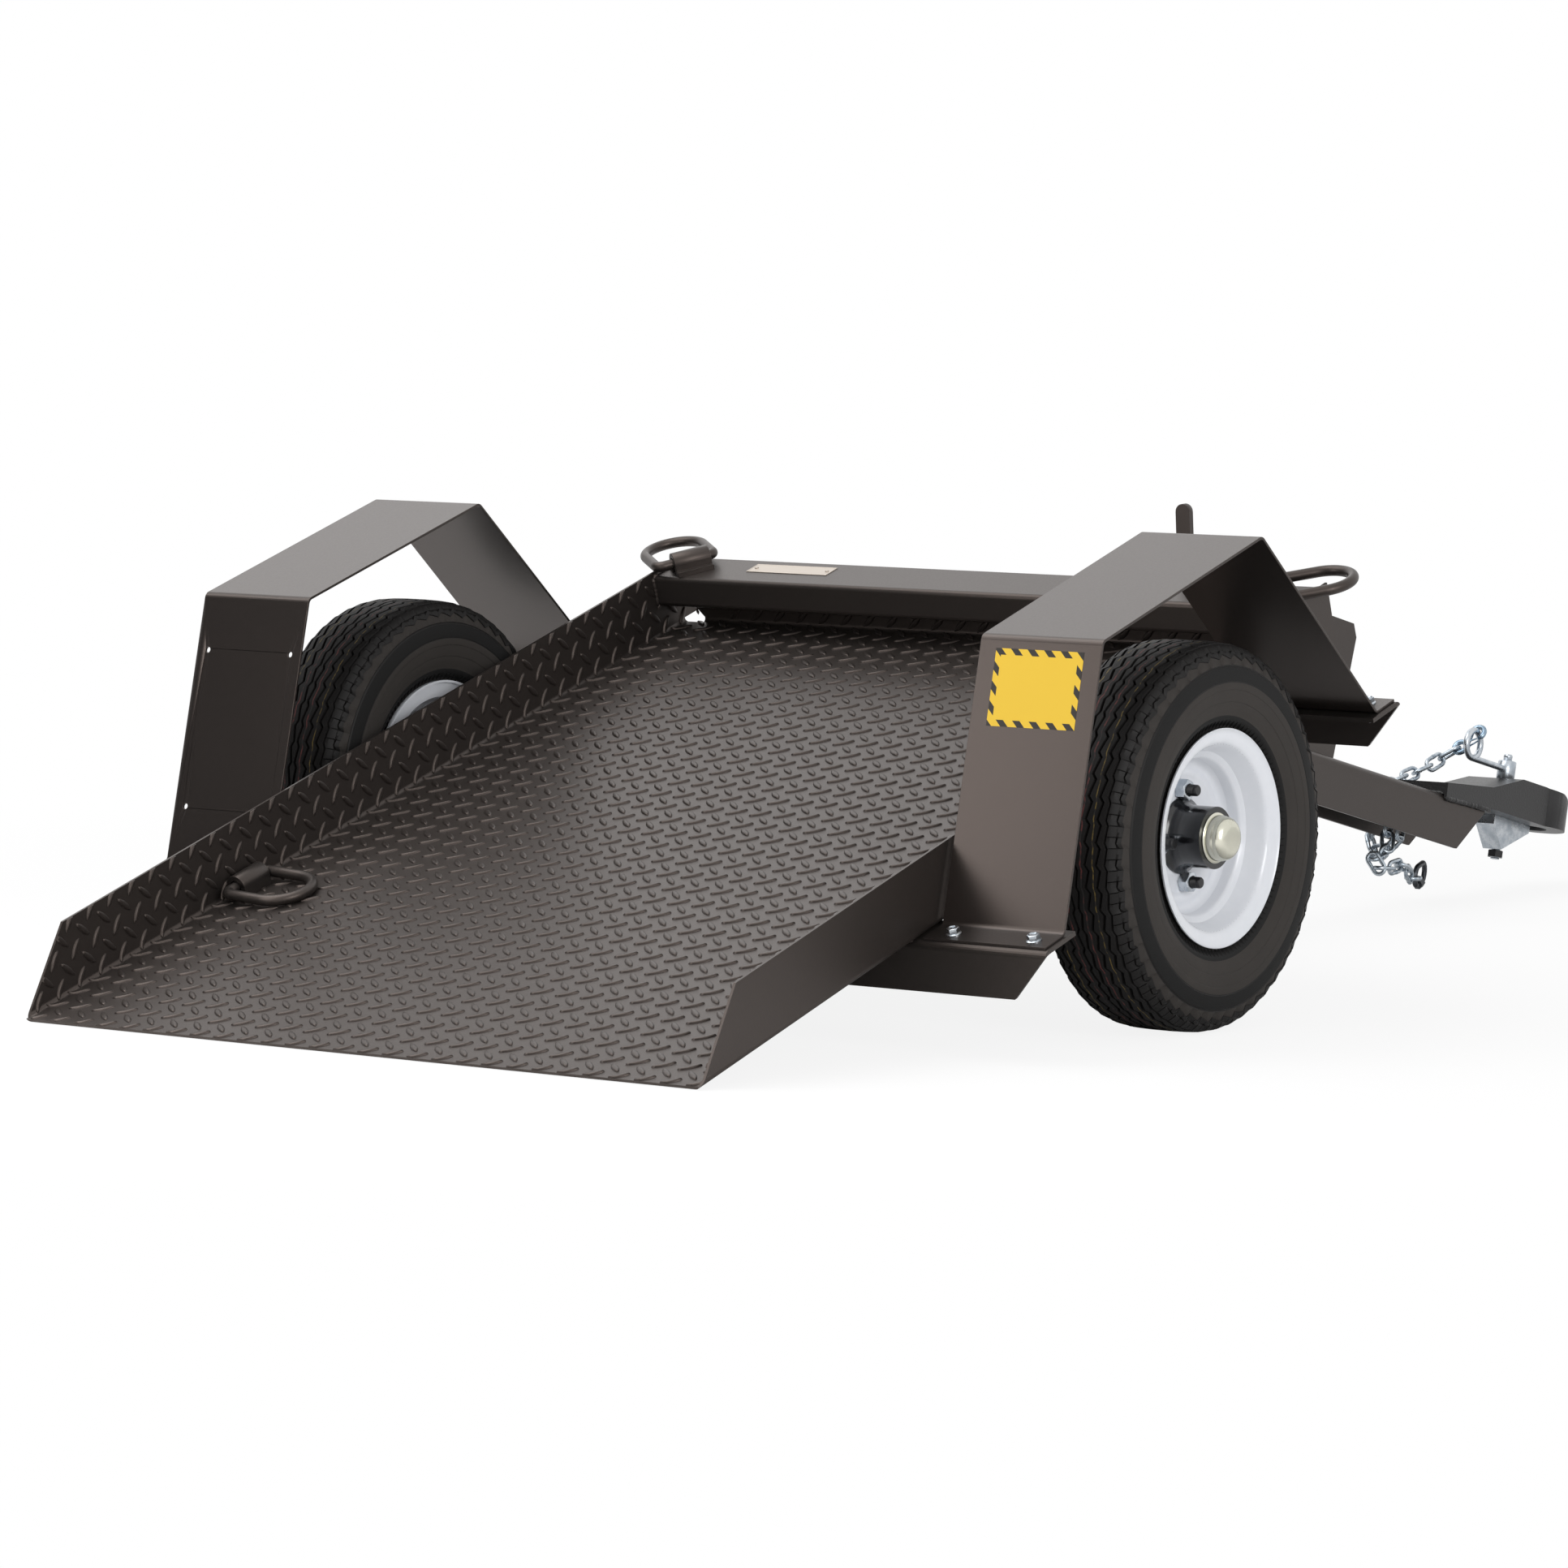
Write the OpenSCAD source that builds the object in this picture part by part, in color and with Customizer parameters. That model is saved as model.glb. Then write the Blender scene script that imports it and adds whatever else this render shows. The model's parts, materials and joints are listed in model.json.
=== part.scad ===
// Tilt trailer with a tread-plate deck, shown tipped back with its rear edge on the ground.
// X points forward, Y to the left and Z up; sizes are in millimetres.
// Deck pieces are drawn level, with the rear bottom edge of the floor at zero, and are tipped as one.
// Tongue pieces are drawn level about the hinge pin, and are dropped from the deck as one.

/* [Deck] */
// Outer width across the side walls
tray_w = 914; // [700:1:1400]
// Length of the floor, from the rear edge to the outer face of the front wall
tray_l = 1259; // [1200:1:1600]
// Height of the side walls above the underside of the floor
wall_h = 82; // [70:1:140]
// Thickness of the folded tread plate
sheet = 3; // [2:0.5:5]
// Outer radius of the folds
fold_r = 8; // [6:0.5:12]
// How far the rear ends of the walls slope forward from bottom to top
wall_rake = 86; // [0:1:150]
// How far the side walls run past the front wall
wall_past = 19; // [10:1:21]
// How far the front wall is narrower than the tray at its foot, each side
notch_w = 30; // [15:1:60]

/* [Cross tube] */
// Depth of the tube, front to back
tube_w = 76; // [60:1:100]
// Height of the tube
tube_h = 38; // [30:1:45]
// Wall of the tube
tube_wall = 3; // [2:0.5:5]
// Outer corner radius of the tube
tube_r = 6; // [4:0.5:9]
// How far the tube's top lies below the top of the walls
tube_drop = 5; // [2:1:10]
// How far the tube stands out past the front wall
tube_lip = 21; // [21:1:30]

/* [Fenders] */
// Width of a fender
fender_w = 154; // [140:1:200]
// Gap between a side wall and its fender
fender_gap = 5.7; // [3:0.1:12]
// Height of the fender's top above the underside of the floor
fender_h = 271.5; // [250:0.5:340]
// Length of the flat top
fender_top = 326; // [250:1:450]
// Forward run of the rear leg, from foot to top
rear_leg_run = 156; // [110:1:200]
// Forward run of the front leg, from top to foot
front_leg_run = 172; // [110:1:220]
// Length of the flange at the foot of each leg
fender_flange = 39; // [30:1:50]
// Distance of the fender's rear end behind the axle
fender_back = 387; // [370:1:420]
// Bend radius of the fender at mid thickness
fender_bend = 8; // [4:0.5:15]
// Radius of the four holes for a plate or a light in the left fender's rear leg
plate_hole_r = 3.25; // [2.5:0.05:5]
// Distance of those holes from the fender's edges
plate_hole_in = 16; // [10:0.5:30]
// Distance of the lower holes from the foot's corner, along the leg
plate_hole_low = 64; // [40:1:100]
// Distance from the lower holes to the upper ones, along the leg
plate_hole_rise = 182; // [100:1:200]

/* [Crossmembers] */
// Height of the web
member_h = 57; // [45:1:80]
// Depth of the top flange
member_flange = 60; // [50:1:80]
// Thickness of the bent plate
member_t = 5; // [3:0.5:8]
// How far the web's lower corners are cut back
member_slant = 48; // [20:1:80]
// How far the crossmember reaches past the fender's edge
member_over = 3.3; // [0:0.1:10]
// How far the web stands clear of the fender's flange
member_lip = 1; // [0:0.5:6]

/* [Floor rails] */
// Distance of each rail from the middle
rail_y = 210; // [120:1:300]
// Width of a rail
rail_w = 40; // [25:1:60]
// Height of a rail
rail_h = 38; // [25:1:50]
// Wall of a rail
rail_wall = 3; // [2:0.5:5]

/* [Axle and wheels] */
// Distance of the axle behind the front wall
axle_back = 471; // [420:1:520]
// Side of the square axle tube
axle_side = 51; // [40:1:64]
// Wall of the axle tube
axle_wall = 4.8; // [3:0.1:8]
// Thickness of the pads between the axle and the floor
axle_pad = 4; // [2:0.5:10]
// Radius of the tyre
tyre_r = 213; // [200:1:230]
// Width of the tyre
tyre_w = 122; // [110:1:134]
// Thickness of the tyre's tread
tread_t = 12; // [8:1:16]
// Thickness of the tyre's side walls
side_t = 6; // [4:0.5:9]
// Outer radius of the rim's flanges
rim_r = 120; // [116:1:126]
// Distance across the outer faces of the rim's flanges
rim_w = 106; // [96:1:110]
// Radius of the bead seat
bead_r = 102; // [98:1:106]
// Radius of the rim's well
well_r = 84; // [78:1:90]
// Thickness of the rim's steel
rim_t = 2.6; // [2:0.1:4]
// Radius of the stud circle
stud_circle_r = 50.8; // [48:0.1:56]
// Number of studs
stud_count = 4; // [3:1:6]
// Radius of a stud
stud_r = 6.35; // [5:0.05:8]
// Turn of the first stud from the top
stud_turn = 12.7; // [0:0.1:90]
// Radius of the hub's barrel
hub_r = 34; // [30:0.5:40]
// Radius of the spindle
spindle_r = 13.5; // [10:0.5:18]

/* [Tongue] */
// Width of the channel
tongue_w = 76.2; // [60:0.1:90]
// Height of the channel
tongue_h = 64; // [50:1:80]
// Thickness of the channel
tongue_t = 4.8; // [3:0.1:8]
// Length of the channel's top, from the hinge pin forward
tongue_l = 1117; // [1000:1:1400]
// How far the channel's front end slopes back from top to bottom
tongue_cut = 67; // [0:1:100]
// Angle of the tongue below the deck in this pose
tongue_drop = 30.7; // [20:0.1:34]
// Angle of the tongue above the deck when it is latched for travel
travel_rise = 6.2; // [0:0.1:8]
// Distance of the hinge pin behind the front wall
hinge_back = 19.5; // [15:0.5:40]
// Depth of the hinge pin below the underside of the floor
hinge_down = 47.5; // [47:0.5:60]
// Radius of the hinge pin
hinge_r = 9.5; // [8:0.5:14]
// Distance of the stop post's front foot from the hinge pin
post_x = 730; // [600:1:900]
// Height of the stop post above the channel
post_h = 175; // [100:1:250]

/* [Latch] */
// Distance of the lever from the middle, to the right
lever_y = 250; // [120:1:400]
// Width of the lever's flat bar
lever_w = 19; // [15:1:30]
// Thickness of the lever's flat bar
lever_t = 8; // [6:0.5:12]
// Length of the lever above its shaft
lever_l = 118; // [80:1:180]
// Forward lean of the released lever
lever_lean = 12.9; // [0:0.1:20]
// Forward swing from released to latched
latch_throw = 40; // [36:1:44]
// Radius of the latch shaft
latch_r = 8; // [6:0.5:10]
// Radius of the striker bar
striker_r = 6; // [4:0.5:7]

/* [Tie-down rings] */
// Radius of the ring's wire
wire_r = 6.35; // [5:0.05:7]
// Outer width of a ring
ring_w = 85; // [80:1:95]
// Reach of a ring, from its straight side's axis to its outer edge
ring_reach = 93; // [85:1:110]
// Bend radius of a ring's square corners
ring_bend = 9; // [8:0.5:12]
// Length of a clip
clip_l = 46; // [35:1:50]
// Thickness of a clip
clip_t = 6; // [4:0.5:7]
// Middle of the rear clips, from the rear edge of the floor
rear_clip_x = 376; // [200:1:600]
// Turn of the front clips from the forward direction
front_clip_turn = 38.7; // [30:0.1:45]
// Middle of the front clips, behind the tube's front face
front_clip_back = 44; // [40:1:50]
// Middle of the front clips, inside the wall
front_clip_in = 37; // [34:1:45]

/* [Chain] */
// Thickness of the chain's wire
chain_d = 5.4; // [5:0.1:6]
// Inside length of a link
link_in = 25; // [22:0.5:28]
// Inside width of a link
link_gap = 9.5; // [9:0.5:12]
// Slack between links
chain_slack = 0.3; // [0.1:0.1:2]

/* [Hidden] */
$fn = 64;
eps = 0.01;
fit = 0.05;
black = "#2b2a2a";
zinc = "#b9bcc0";
chain_zinc = "#9aa0a6";

// Places on the level deck
wall_in = tray_w / 2 - sheet;
tube_top = wall_h - tube_drop;
tube_z = tube_top - tube_h;
tube_front = tray_l + tube_lip;
fender_in = tray_w / 2 + fender_gap;
fender_out = fender_in + fender_w;
axle_x = tray_l - axle_back;
fender_x = axle_x - fender_back;
// The wheel runs under the middle of its fender
wheel_y = (fender_in + fender_out) / 2;
rear_foot = fender_x + fender_flange;
rear_top = rear_foot + rear_leg_run;
front_top = rear_top + fender_top;
front_foot = front_top + front_leg_run;
fender_end = front_foot + fender_flange;
rear_web = fender_x - member_lip - member_t;
front_web = fender_end + member_lip + member_t;
axle_drop = axle_pad + axle_side / 2;
hinge_x = tray_l - hinge_back;

// The deck tips back until its rear edge and its tyres stand on the ground
tilt = asin(tyre_r / norm([axle_x, axle_drop])) + atan2(axle_drop, axle_x);
// Slope of the tongue below level ground's line
tongue_slope = tongue_drop - tilt;

// Coupler, level about the hinge pin
coupler_back = tongue_l - 117;
ball_r = 25.4;
ball_x = tongue_l + 173;
ball_z = tongue_h / 2 + 13;
nose_r = 50;
bolt_x = tongue_l + 99;
coupler_top = tongue_h / 2 + 51;

// Middle of the whole trailer along X
front_reach = (hinge_x * cos(tilt) + hinge_down * sin(tilt))
    + (ball_x + nose_r - 3) * cos(tongue_slope) + (coupler_top - 27) * sin(tongue_slope);
rear_reach = -sheet * sin(tilt);
middle_x = (front_reach + rear_reach) / 2;

// Latch
latch_hub_r = latch_r + 6;
latch_x = tube_front + latch_hub_r + 0.5;
latch_z = tube_z + 1;
striker_at = [3, -25];
striker_deck = [latch_x + striker_at.x - hinge_x, latch_z + striker_at.y + hinge_down];
striker_local = [
    striker_deck.x * cos(travel_rise) + striker_deck.y * sin(travel_rise),
    -striker_deck.x * sin(travel_rise) + striker_deck.y * cos(travel_rise)
];

// Tie-down rings
ring_lift = wire_r * 2;
clip_r = wire_r + 1 + clip_t;
ring_slide = (ring_w - 4 * wire_r - clip_l) / 2 - 1;

// Left normal of a heading
function left(h) = [-sin(h), cos(h)];
function heading(a, b) = atan2(b.y - a.y, b.x - a.x);
function turn_of(a, b, c) = let(t = heading(b, c) - heading(a, b)) t > 180 ? t - 360 : t < -180 ? t + 360 : t;
function bend_points(a, b, c, r, side, steps = 6) =
    let(
        h = heading(a, b),
        turn = turn_of(a, b, c),
        s = sign(turn),
        start = b - r * tan(abs(turn) / 2) * [cos(h), sin(h)],
        centre = start + s * r * left(h)
    )
    [for (k = [0:steps]) centre + (side - s * r) * left(h + turn * k / steps)];
function edge_points(p, r, side) =
    let(last = len(p) - 1)
    concat(
        [p[0] + side * left(heading(p[0], p[1]))],
        [for (i = [1:last - 1]) each bend_points(p[i - 1], p[i], p[i + 1], r, side)],
        [p[last] + side * left(heading(p[last - 1], p[last]))]
    );
function reversed(p) = [for (i = [len(p) - 1:-1:0]) p[i]];

// Plate bent along a line at its mid thickness
module bent_plate(line, r, t) {
    polygon(concat(edge_points(line, r, t / 2), reversed(edge_points(line, r, -t / 2))));
}

// Draws a side view, with its height along Z, between two distances to the left
module between(y0, y1) {
    translate([0, y1, 0]) rotate([90, 0, 0]) linear_extrude(y1 - y0) children();
}

module on_deck() {
    translate([-middle_x, 0, 0]) rotate([0, -tilt, 0]) children();
}

module on_tongue() {
    on_deck() translate([hinge_x, 0, -hinge_down]) rotate([0, tongue_drop, 0]) children();
}

module on_side(side) {
    if (side > 0) children();
    else mirror([0, 1, 0]) children();
}

// Square with round corners, centred
module soft_square(size, r) {
    square([size.x - 2 * r, size.y], center = true);
    square([size.x, size.y - 2 * r], center = true);
    for (x = [-1, 1], y = [-1, 1])
        translate([x * (size.x / 2 - r), y * (size.y / 2 - r)]) circle(r);
}

module round_bar(a, b, r) {
    v = b - a;
    translate(a) rotate([0, acos(v.z / norm(v)), atan2(v.y, v.x)]) cylinder(r = r, h = norm(v));
}

// Cross-section of the folded tray
module tray_section(w, h, r) {
    translate([-w / 2, r]) square([w, h - r]);
    translate([-w / 2 + r, 0]) square([w - 2 * r, h]);
    for (s = [-1, 1]) translate([s * (w / 2 - r), r]) circle(r);
}

module front_wall() {
    foot = tray_w / 2 - notch_w;
    slope = (wall_in - foot) / (tube_z - fold_r);
    intersection() {
        between(-wall_in, wall_in) bent_plate(
            [[tray_l - fold_r - eps, sheet / 2], [tray_l - sheet / 2, sheet / 2], [tray_l - sheet / 2, tube_z]],
            fold_r - sheet / 2, sheet
        );
        rotate([90, 0, 90]) translate([0, 0, tray_l / 2]) linear_extrude(tray_l) polygon([
            [-foot, -1], [foot, -1], [foot, fold_r], [foot + slope * (tube_z - fold_r), tube_z],
            [-foot - slope * (tube_z - fold_r), tube_z], [-foot, fold_r]
        ]);
    }
}

module tray() color(black) on_deck() {
    front = tray_l - fold_r;
    difference() {
        rotate([90, 0, 90]) linear_extrude(tray_l + wall_past) difference() {
            tray_section(tray_w, wall_h, fold_r);
            translate([0, sheet]) tray_section(tray_w - 2 * sheet, wall_h, fold_r - sheet);
        }
        between(-tray_w, tray_w) polygon([
            [-1, sheet], [wall_rake * sheet / wall_h, sheet], [wall_rake, wall_h],
            [wall_rake, wall_h + 1], [-1, wall_h + 1]
        ]);
        translate([front, -wall_in, -1]) cube([tray_l, 2 * wall_in, wall_h + 2]);
        translate([front, -tray_w, -1]) cube([tray_l, 2 * tray_w, fold_r + 1]);
    }
    front_wall();
}

module cross_tube() color(black) on_deck()
    translate([tube_front - tube_w / 2, 0, tube_top - tube_h / 2])
        rotate([90, 0, 0]) translate([0, 0, -wall_in]) linear_extrude(2 * wall_in) difference() {
            soft_square([tube_w, tube_h], tube_r);
            soft_square([tube_w - 2 * tube_wall, tube_h - 2 * tube_wall], tube_r - tube_wall);
        }

// Bent angle under the floor, with its web at x = 0 and its flange towards +X
module crossmember() {
    end = fender_out + member_over;
    intersection() {
        between(-end, end) bent_plate(
            [[member_t / 2, -member_h], [member_t / 2, -member_t / 2], [member_flange, -member_t / 2]],
            member_t * 1.1, member_t
        );
        rotate([90, 0, 90]) linear_extrude(member_flange) polygon([
            [-end, 0], [-end, -member_t], [-end + member_slant, -member_h],
            [end - member_slant, -member_h], [end, -member_t], [end, 0]
        ]);
    }
}

module rear_crossmember() color(black) on_deck() translate([rear_web, 0, 0]) crossmember();

module front_crossmember() color(black) on_deck()
    translate([front_web, 0, 0]) mirror([1, 0, 0]) crossmember();

module rail(x0, x1) {
    translate([x0, 0, -rail_h / 2]) rotate([90, 0, 90]) linear_extrude(x1 - x0) difference() {
        square([rail_w, rail_h], center = true);
        translate([0, -rail_wall]) square([rail_w - 2 * rail_wall, rail_h], center = true);
    }
}

module floor_rails() color(black) on_deck() for (s = [-1, 1]) translate([0, s * rail_y, 0]) {
    rail(rear_web + member_flange, axle_x - axle_side / 2);
    rail(axle_x + axle_side / 2, front_web - member_flange);
}

beam_end = wall_in;
shoulder_end = wheel_y - tyre_w / 2 - 8;
hub_in = wheel_y - 52;
hub_out = wheel_y + 46;
spindle_end = wheel_y + 50;

module axle_beam() color(black) on_deck() translate([axle_x, 0, -axle_drop]) {
    rotate([90, 0, 0]) translate([0, 0, -beam_end]) linear_extrude(2 * beam_end) difference() {
        soft_square([axle_side, axle_side], axle_wall);
        soft_square([axle_side - 2 * axle_wall, axle_side - 2 * axle_wall], 1);
    }
    for (s = [-1, 1]) translate([0, s * (wall_in - 45), axle_side / 2 + axle_pad / 2 - eps / 2])
        cube([axle_side, 70, axle_pad + eps], center = true);
}

module spindle(side) color("#55575a") on_deck() translate([axle_x, 0, -axle_drop]) on_side(side)
    rotate([-90, 0, 0]) {
        translate([0, 0, beam_end]) cylinder(r = spindle_r + 7, h = hub_in - 1 - beam_end);
        translate([0, 0, beam_end]) cylinder(r = spindle_r, h = spindle_end - beam_end);
    }

module fender(side) on_side(side) between(fender_in, fender_out) bent_plate(
    [
        [fender_x, sheet / 2], [rear_foot, sheet / 2], [rear_top, fender_h - sheet / 2],
        [front_top, fender_h - sheet / 2], [front_foot, sheet / 2], [fender_end, sheet / 2]
    ],
    fender_bend, sheet
);

module fender_left() color(black) on_deck() difference() {
    fender(1);
    translate([rear_foot, 0, sheet / 2]) rotate([0, -atan2(fender_h - sheet, rear_leg_run), 0])
        for (s = [plate_hole_low, plate_hole_low + plate_hole_rise], y = [fender_in + plate_hole_in, fender_out - plate_hole_in])
            translate([s, y, 0]) cylinder(r = plate_hole_r, h = 4 * sheet, center = true);
}

module fender_right() color(black) on_deck() fender(-1);

ear_t = 6;
ear_in = tongue_w / 2 + 5;

module hinge_ears() color(black) on_deck() for (s = [-1, 1]) on_side(s)
    between(ear_in, ear_in + ear_t) difference() {
        union() {
            polygon([
                [front_web, 0], [tray_l - fold_r, 0], [tray_l - fold_r, -20],
                [hinge_x + 20, -hinge_down], [hinge_x - 6, -hinge_down - 18.8], [front_web, -member_h + 10]
            ]);
            translate([hinge_x, -hinge_down]) circle(20);
        }
        translate([hinge_x, -hinge_down]) circle(hinge_r + fit);
    }

module hinge_pin() color(zinc) on_deck() translate([hinge_x, 0, -hinge_down]) rotate([90, 0, 0]) {
    half = ear_in + ear_t;
    translate([0, 0, -half - 8]) cylinder(r = hinge_r, h = 2 * half + 16);
    translate([0, 0, half + 0.5]) cylinder(r = hinge_r + 5, h = 7, $fn = 6);
    translate([0, 0, -half - 9]) cylinder(r = hinge_r + 5, h = 8.5, $fn = 6);
}

lug_t = 6;
lug_places = [-lever_y - 20, -38, 32];

module latch_lugs() color(black) on_deck() for (y = lug_places) translate([0, y, 0])
    between(-lug_t / 2, lug_t / 2) difference() {
        union() {
            translate([tube_front, latch_z - 10]) square([latch_x - tube_front, 26]);
            translate([latch_x, latch_z]) circle(latch_hub_r);
        }
        translate([latch_x, latch_z]) circle(latch_r + fit);
    }

hook_t = 10;

// Side view of the latched hook about its shaft
module hook_outline() {
    difference() {
        union() {
            circle(latch_hub_r);
            polygon([[-8, -6], [4, 12], [14, 0], [27, -16], [27, -34], [18, -43], [-7, -43], [-7, -14]]);
        }
        translate(striker_at) circle(striker_r + 1.5);
        translate([striker_at.x - 40, striker_at.y - striker_r - 1.5]) square([40, 2 * striker_r + 3]);
        translate([-40, striker_at.y - 3]) square([36, 12]);
    }
}

module latch_lever() color(black) on_deck() translate([latch_x, 0, latch_z]) {
    rotate([90, 0, 0]) translate([0, 0, -40]) cylinder(r = latch_r, h = lever_y + 70);
    rotate([0, -latch_throw, 0]) between(-hook_t / 2, hook_t / 2) hook_outline();
    rotate([0, lever_lean, 0]) translate([-lever_t / 2, -lever_y, 0]) rotate([90, 0, 90])
        linear_extrude(lever_t) {
            translate([-lever_w / 2, 0]) square([lever_w, lever_l - lever_w / 2]);
            translate([0, lever_l - lever_w / 2]) circle(lever_w / 2);
        }
}

module latch_striker() color(black) on_tongue() {
    top = tongue_h / 2;
    for (s = [-1, 1]) on_side(s) between(14, 20) {
        translate([striker_local.x - 12, top]) square([24, striker_local.y - top]);
        translate(striker_local) circle(12);
    }
    translate([striker_local.x, 0, striker_local.y]) rotate([90, 0, 0])
        cylinder(r = striker_r, h = 36, center = true);
}

// D-shaped ring in the XY plane, its straight side on the X axis
module ring() {
    half = ring_w / 2 - wire_r;
    bow = half;
    straight = ring_reach - wire_r - bow;
    rotate([0, 90, 0]) cylinder(r = wire_r, h = 2 * (half - ring_bend), center = true);
    for (s = [-1, 1]) {
        translate([s * half, straight, 0]) rotate([90, 0, 0]) cylinder(r = wire_r, h = straight - ring_bend);
        translate([s * (half - ring_bend), ring_bend, 0]) rotate([0, 0, s > 0 ? -90 : 180])
            rotate_extrude(angle = 90) translate([ring_bend, 0]) circle(wire_r);
    }
    translate([0, straight, 0]) rotate_extrude(angle = 180) translate([bow, 0]) circle(wire_r);
}

// Strap bent over a ring's straight side, standing on a face at z = 0
module clip(foot_in, foot_out, corner = 0) {
    translate([-clip_l / 2, 0, 0]) rotate([90, 0, 90]) linear_extrude(clip_l) difference() {
        union() {
            translate([0, ring_lift]) circle(clip_r);
            translate([-clip_r, 0]) square([2 * clip_r, ring_lift]);
            translate([-foot_in, 0]) square([foot_in + foot_out, clip_t]);
        }
        translate([0, ring_lift]) circle(clip_r - clip_t);
        translate([-clip_r + clip_t, -1]) square([2 * (clip_r - clip_t), ring_lift + 1]);
        polygon([[clip_r - corner, -eps], [clip_r + 1, -eps], [clip_r + 1, corner + 1]]);
    }
}

module at_rear_clip(side) on_deck() on_side(side)
    translate([rear_clip_x, wall_in - clip_r - 0.3, sheet]) children();

module at_front_clip(side) on_deck() on_side(side)
    translate([tube_front - front_clip_back, wall_in - front_clip_in, tube_top])
        rotate([0, 0, -front_clip_turn]) children();

rear_ring_dip = asin((ring_lift - wire_r - 0.3) / (ring_reach - wire_r));

module clip_rear(side) color(black) at_rear_clip(side) clip(clip_r, clip_r, fold_r - sheet);

module clip_front(side) color(black) at_front_clip(side) clip(20, 20);

module ring_rear(side) color(zinc) at_rear_clip(side)
    translate([-ring_slide, 0, ring_lift]) rotate([rear_ring_dip, 0, 0]) mirror([0, 1, 0]) ring();

module ring_front(side) color(zinc) at_front_clip(side)
    translate([-ring_slide, 0, ring_lift]) rotate([-0.5, 0, 0]) ring();

// Turns a shape about Z so that it lies on a wheel's axle, its top outward
module at_wheel(side) on_deck() translate([axle_x, 0, -axle_drop]) on_side(side)
    translate([0, wheel_y, 0]) rotate([-90, 0, 0]) children();

module tyre(side) color("#1e1e20") at_wheel(side) rotate_extrude($fn = 96) {
    half = tyre_w / 2;
    bead = rim_w / 2 - 6.5;
    shoulder = tyre_r - 18;
    mid = (bead_r + tyre_r) / 2;
    difference() {
        polygon([
            [bead_r + rim_t, -bead], [rim_r - 2, -bead], [rim_r + 12, -half + 4], [mid, -half],
            [shoulder - 8, -half + 3], [shoulder + 6, -half + 12], [tyre_r - 3, -half + 22], [tyre_r, -half + 42],
            [tyre_r, half - 42], [tyre_r - 3, half - 22], [shoulder + 6, half - 12], [shoulder - 8, half - 3],
            [mid, half], [rim_r + 12, half - 4], [rim_r - 2, bead], [bead_r + rim_t, bead]
        ]);
        polygon([
            [bead_r, -bead + 12], [rim_r, -bead + 8], [rim_r + 14, -half + 4 + side_t],
            [mid, -half + side_t], [shoulder - 10, -half + 4 + side_t], [tyre_r - tread_t, -half + 26],
            [tyre_r - tread_t, half - 26], [shoulder - 10, half - 4 - side_t], [mid, half - side_t],
            [rim_r + 14, half - 4 - side_t], [rim_r, bead - 8], [bead_r, bead - 12]
        ]);
    }
}

disc_t = 3;
hub_hole_r = hub_r + 0.5;

module rim(side) color("#c9cfd6") at_wheel(side) {
    half = rim_w / 2;
    seat = half - 5;
    rotate_extrude($fn = 96) bent_plate(
        [
            [rim_r - rim_t / 2, -half], [rim_r - rim_t / 2, -seat], [bead_r, -seat], [bead_r - 2, -half * 0.55],
            [well_r, -half * 0.4], [well_r, half * 0.4], [bead_r - 2, half * 0.55], [bead_r, seat],
            [rim_r - rim_t / 2, seat], [rim_r - rim_t / 2, half]
        ],
        2.2, rim_t
    );
    difference() {
        translate([0, 0, -disc_t + 1.3]) cylinder(r = well_r - rim_t / 2 + eps, h = disc_t);
        translate([0, 0, -disc_t]) cylinder(r = hub_hole_r, h = 2 * disc_t);
        for (k = [0:stud_count - 1]) stud_place(k) translate([0, 0, -disc_t]) cylinder(r = stud_r + 1, h = 3 * disc_t);
    }
}

module stud_place(k) rotate([0, 0, -90 + stud_turn + 360 * k / stud_count])
    translate([stud_circle_r, 0, 0]) children();

hub_flange_t = 9;

module hub(side) color("#1b1b1c") at_wheel(side) difference() {
    union() {
        translate([0, 0, hub_in - wheel_y]) cylinder(r = hub_r - 3, h = 0 - (hub_in - wheel_y));
        translate([0, 0, 1.3 - disc_t - hub_flange_t]) cylinder(r = stud_circle_r + 16, h = hub_flange_t);
        translate([0, 0, -disc_t]) cylinder(r = hub_r, h = hub_out - wheel_y + disc_t);
    }
    translate([0, 0, hub_in - wheel_y - 1]) cylinder(r = spindle_r + fit, h = hub_out - hub_in + 2);
}

cap_r = 25.15;

module dust_cap(side) color(zinc) at_wheel(side) translate([0, 0, hub_out - wheel_y]) rotate_extrude() difference() {
    polygon([[0, 0], [cap_r, 0], [cap_r, 14], [cap_r - 3, 19], [cap_r - 9, 21], [0, 22]]);
    polygon([[-1, -1], [cap_r - 2, -1], [cap_r - 2, 13], [cap_r - 5, 17], [-1, 19]]);
}

nut_h = 13;

module lug_nuts(side) color(zinc) at_wheel(side) for (k = [0:stud_count - 1]) stud_place(k) {
    translate([0, 0, 1.3 - disc_t]) cylinder(r = stud_r, h = 27);
    translate([0, 0, 1.3]) cylinder(r = 11, h = nut_h, $fn = 6);
}

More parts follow.
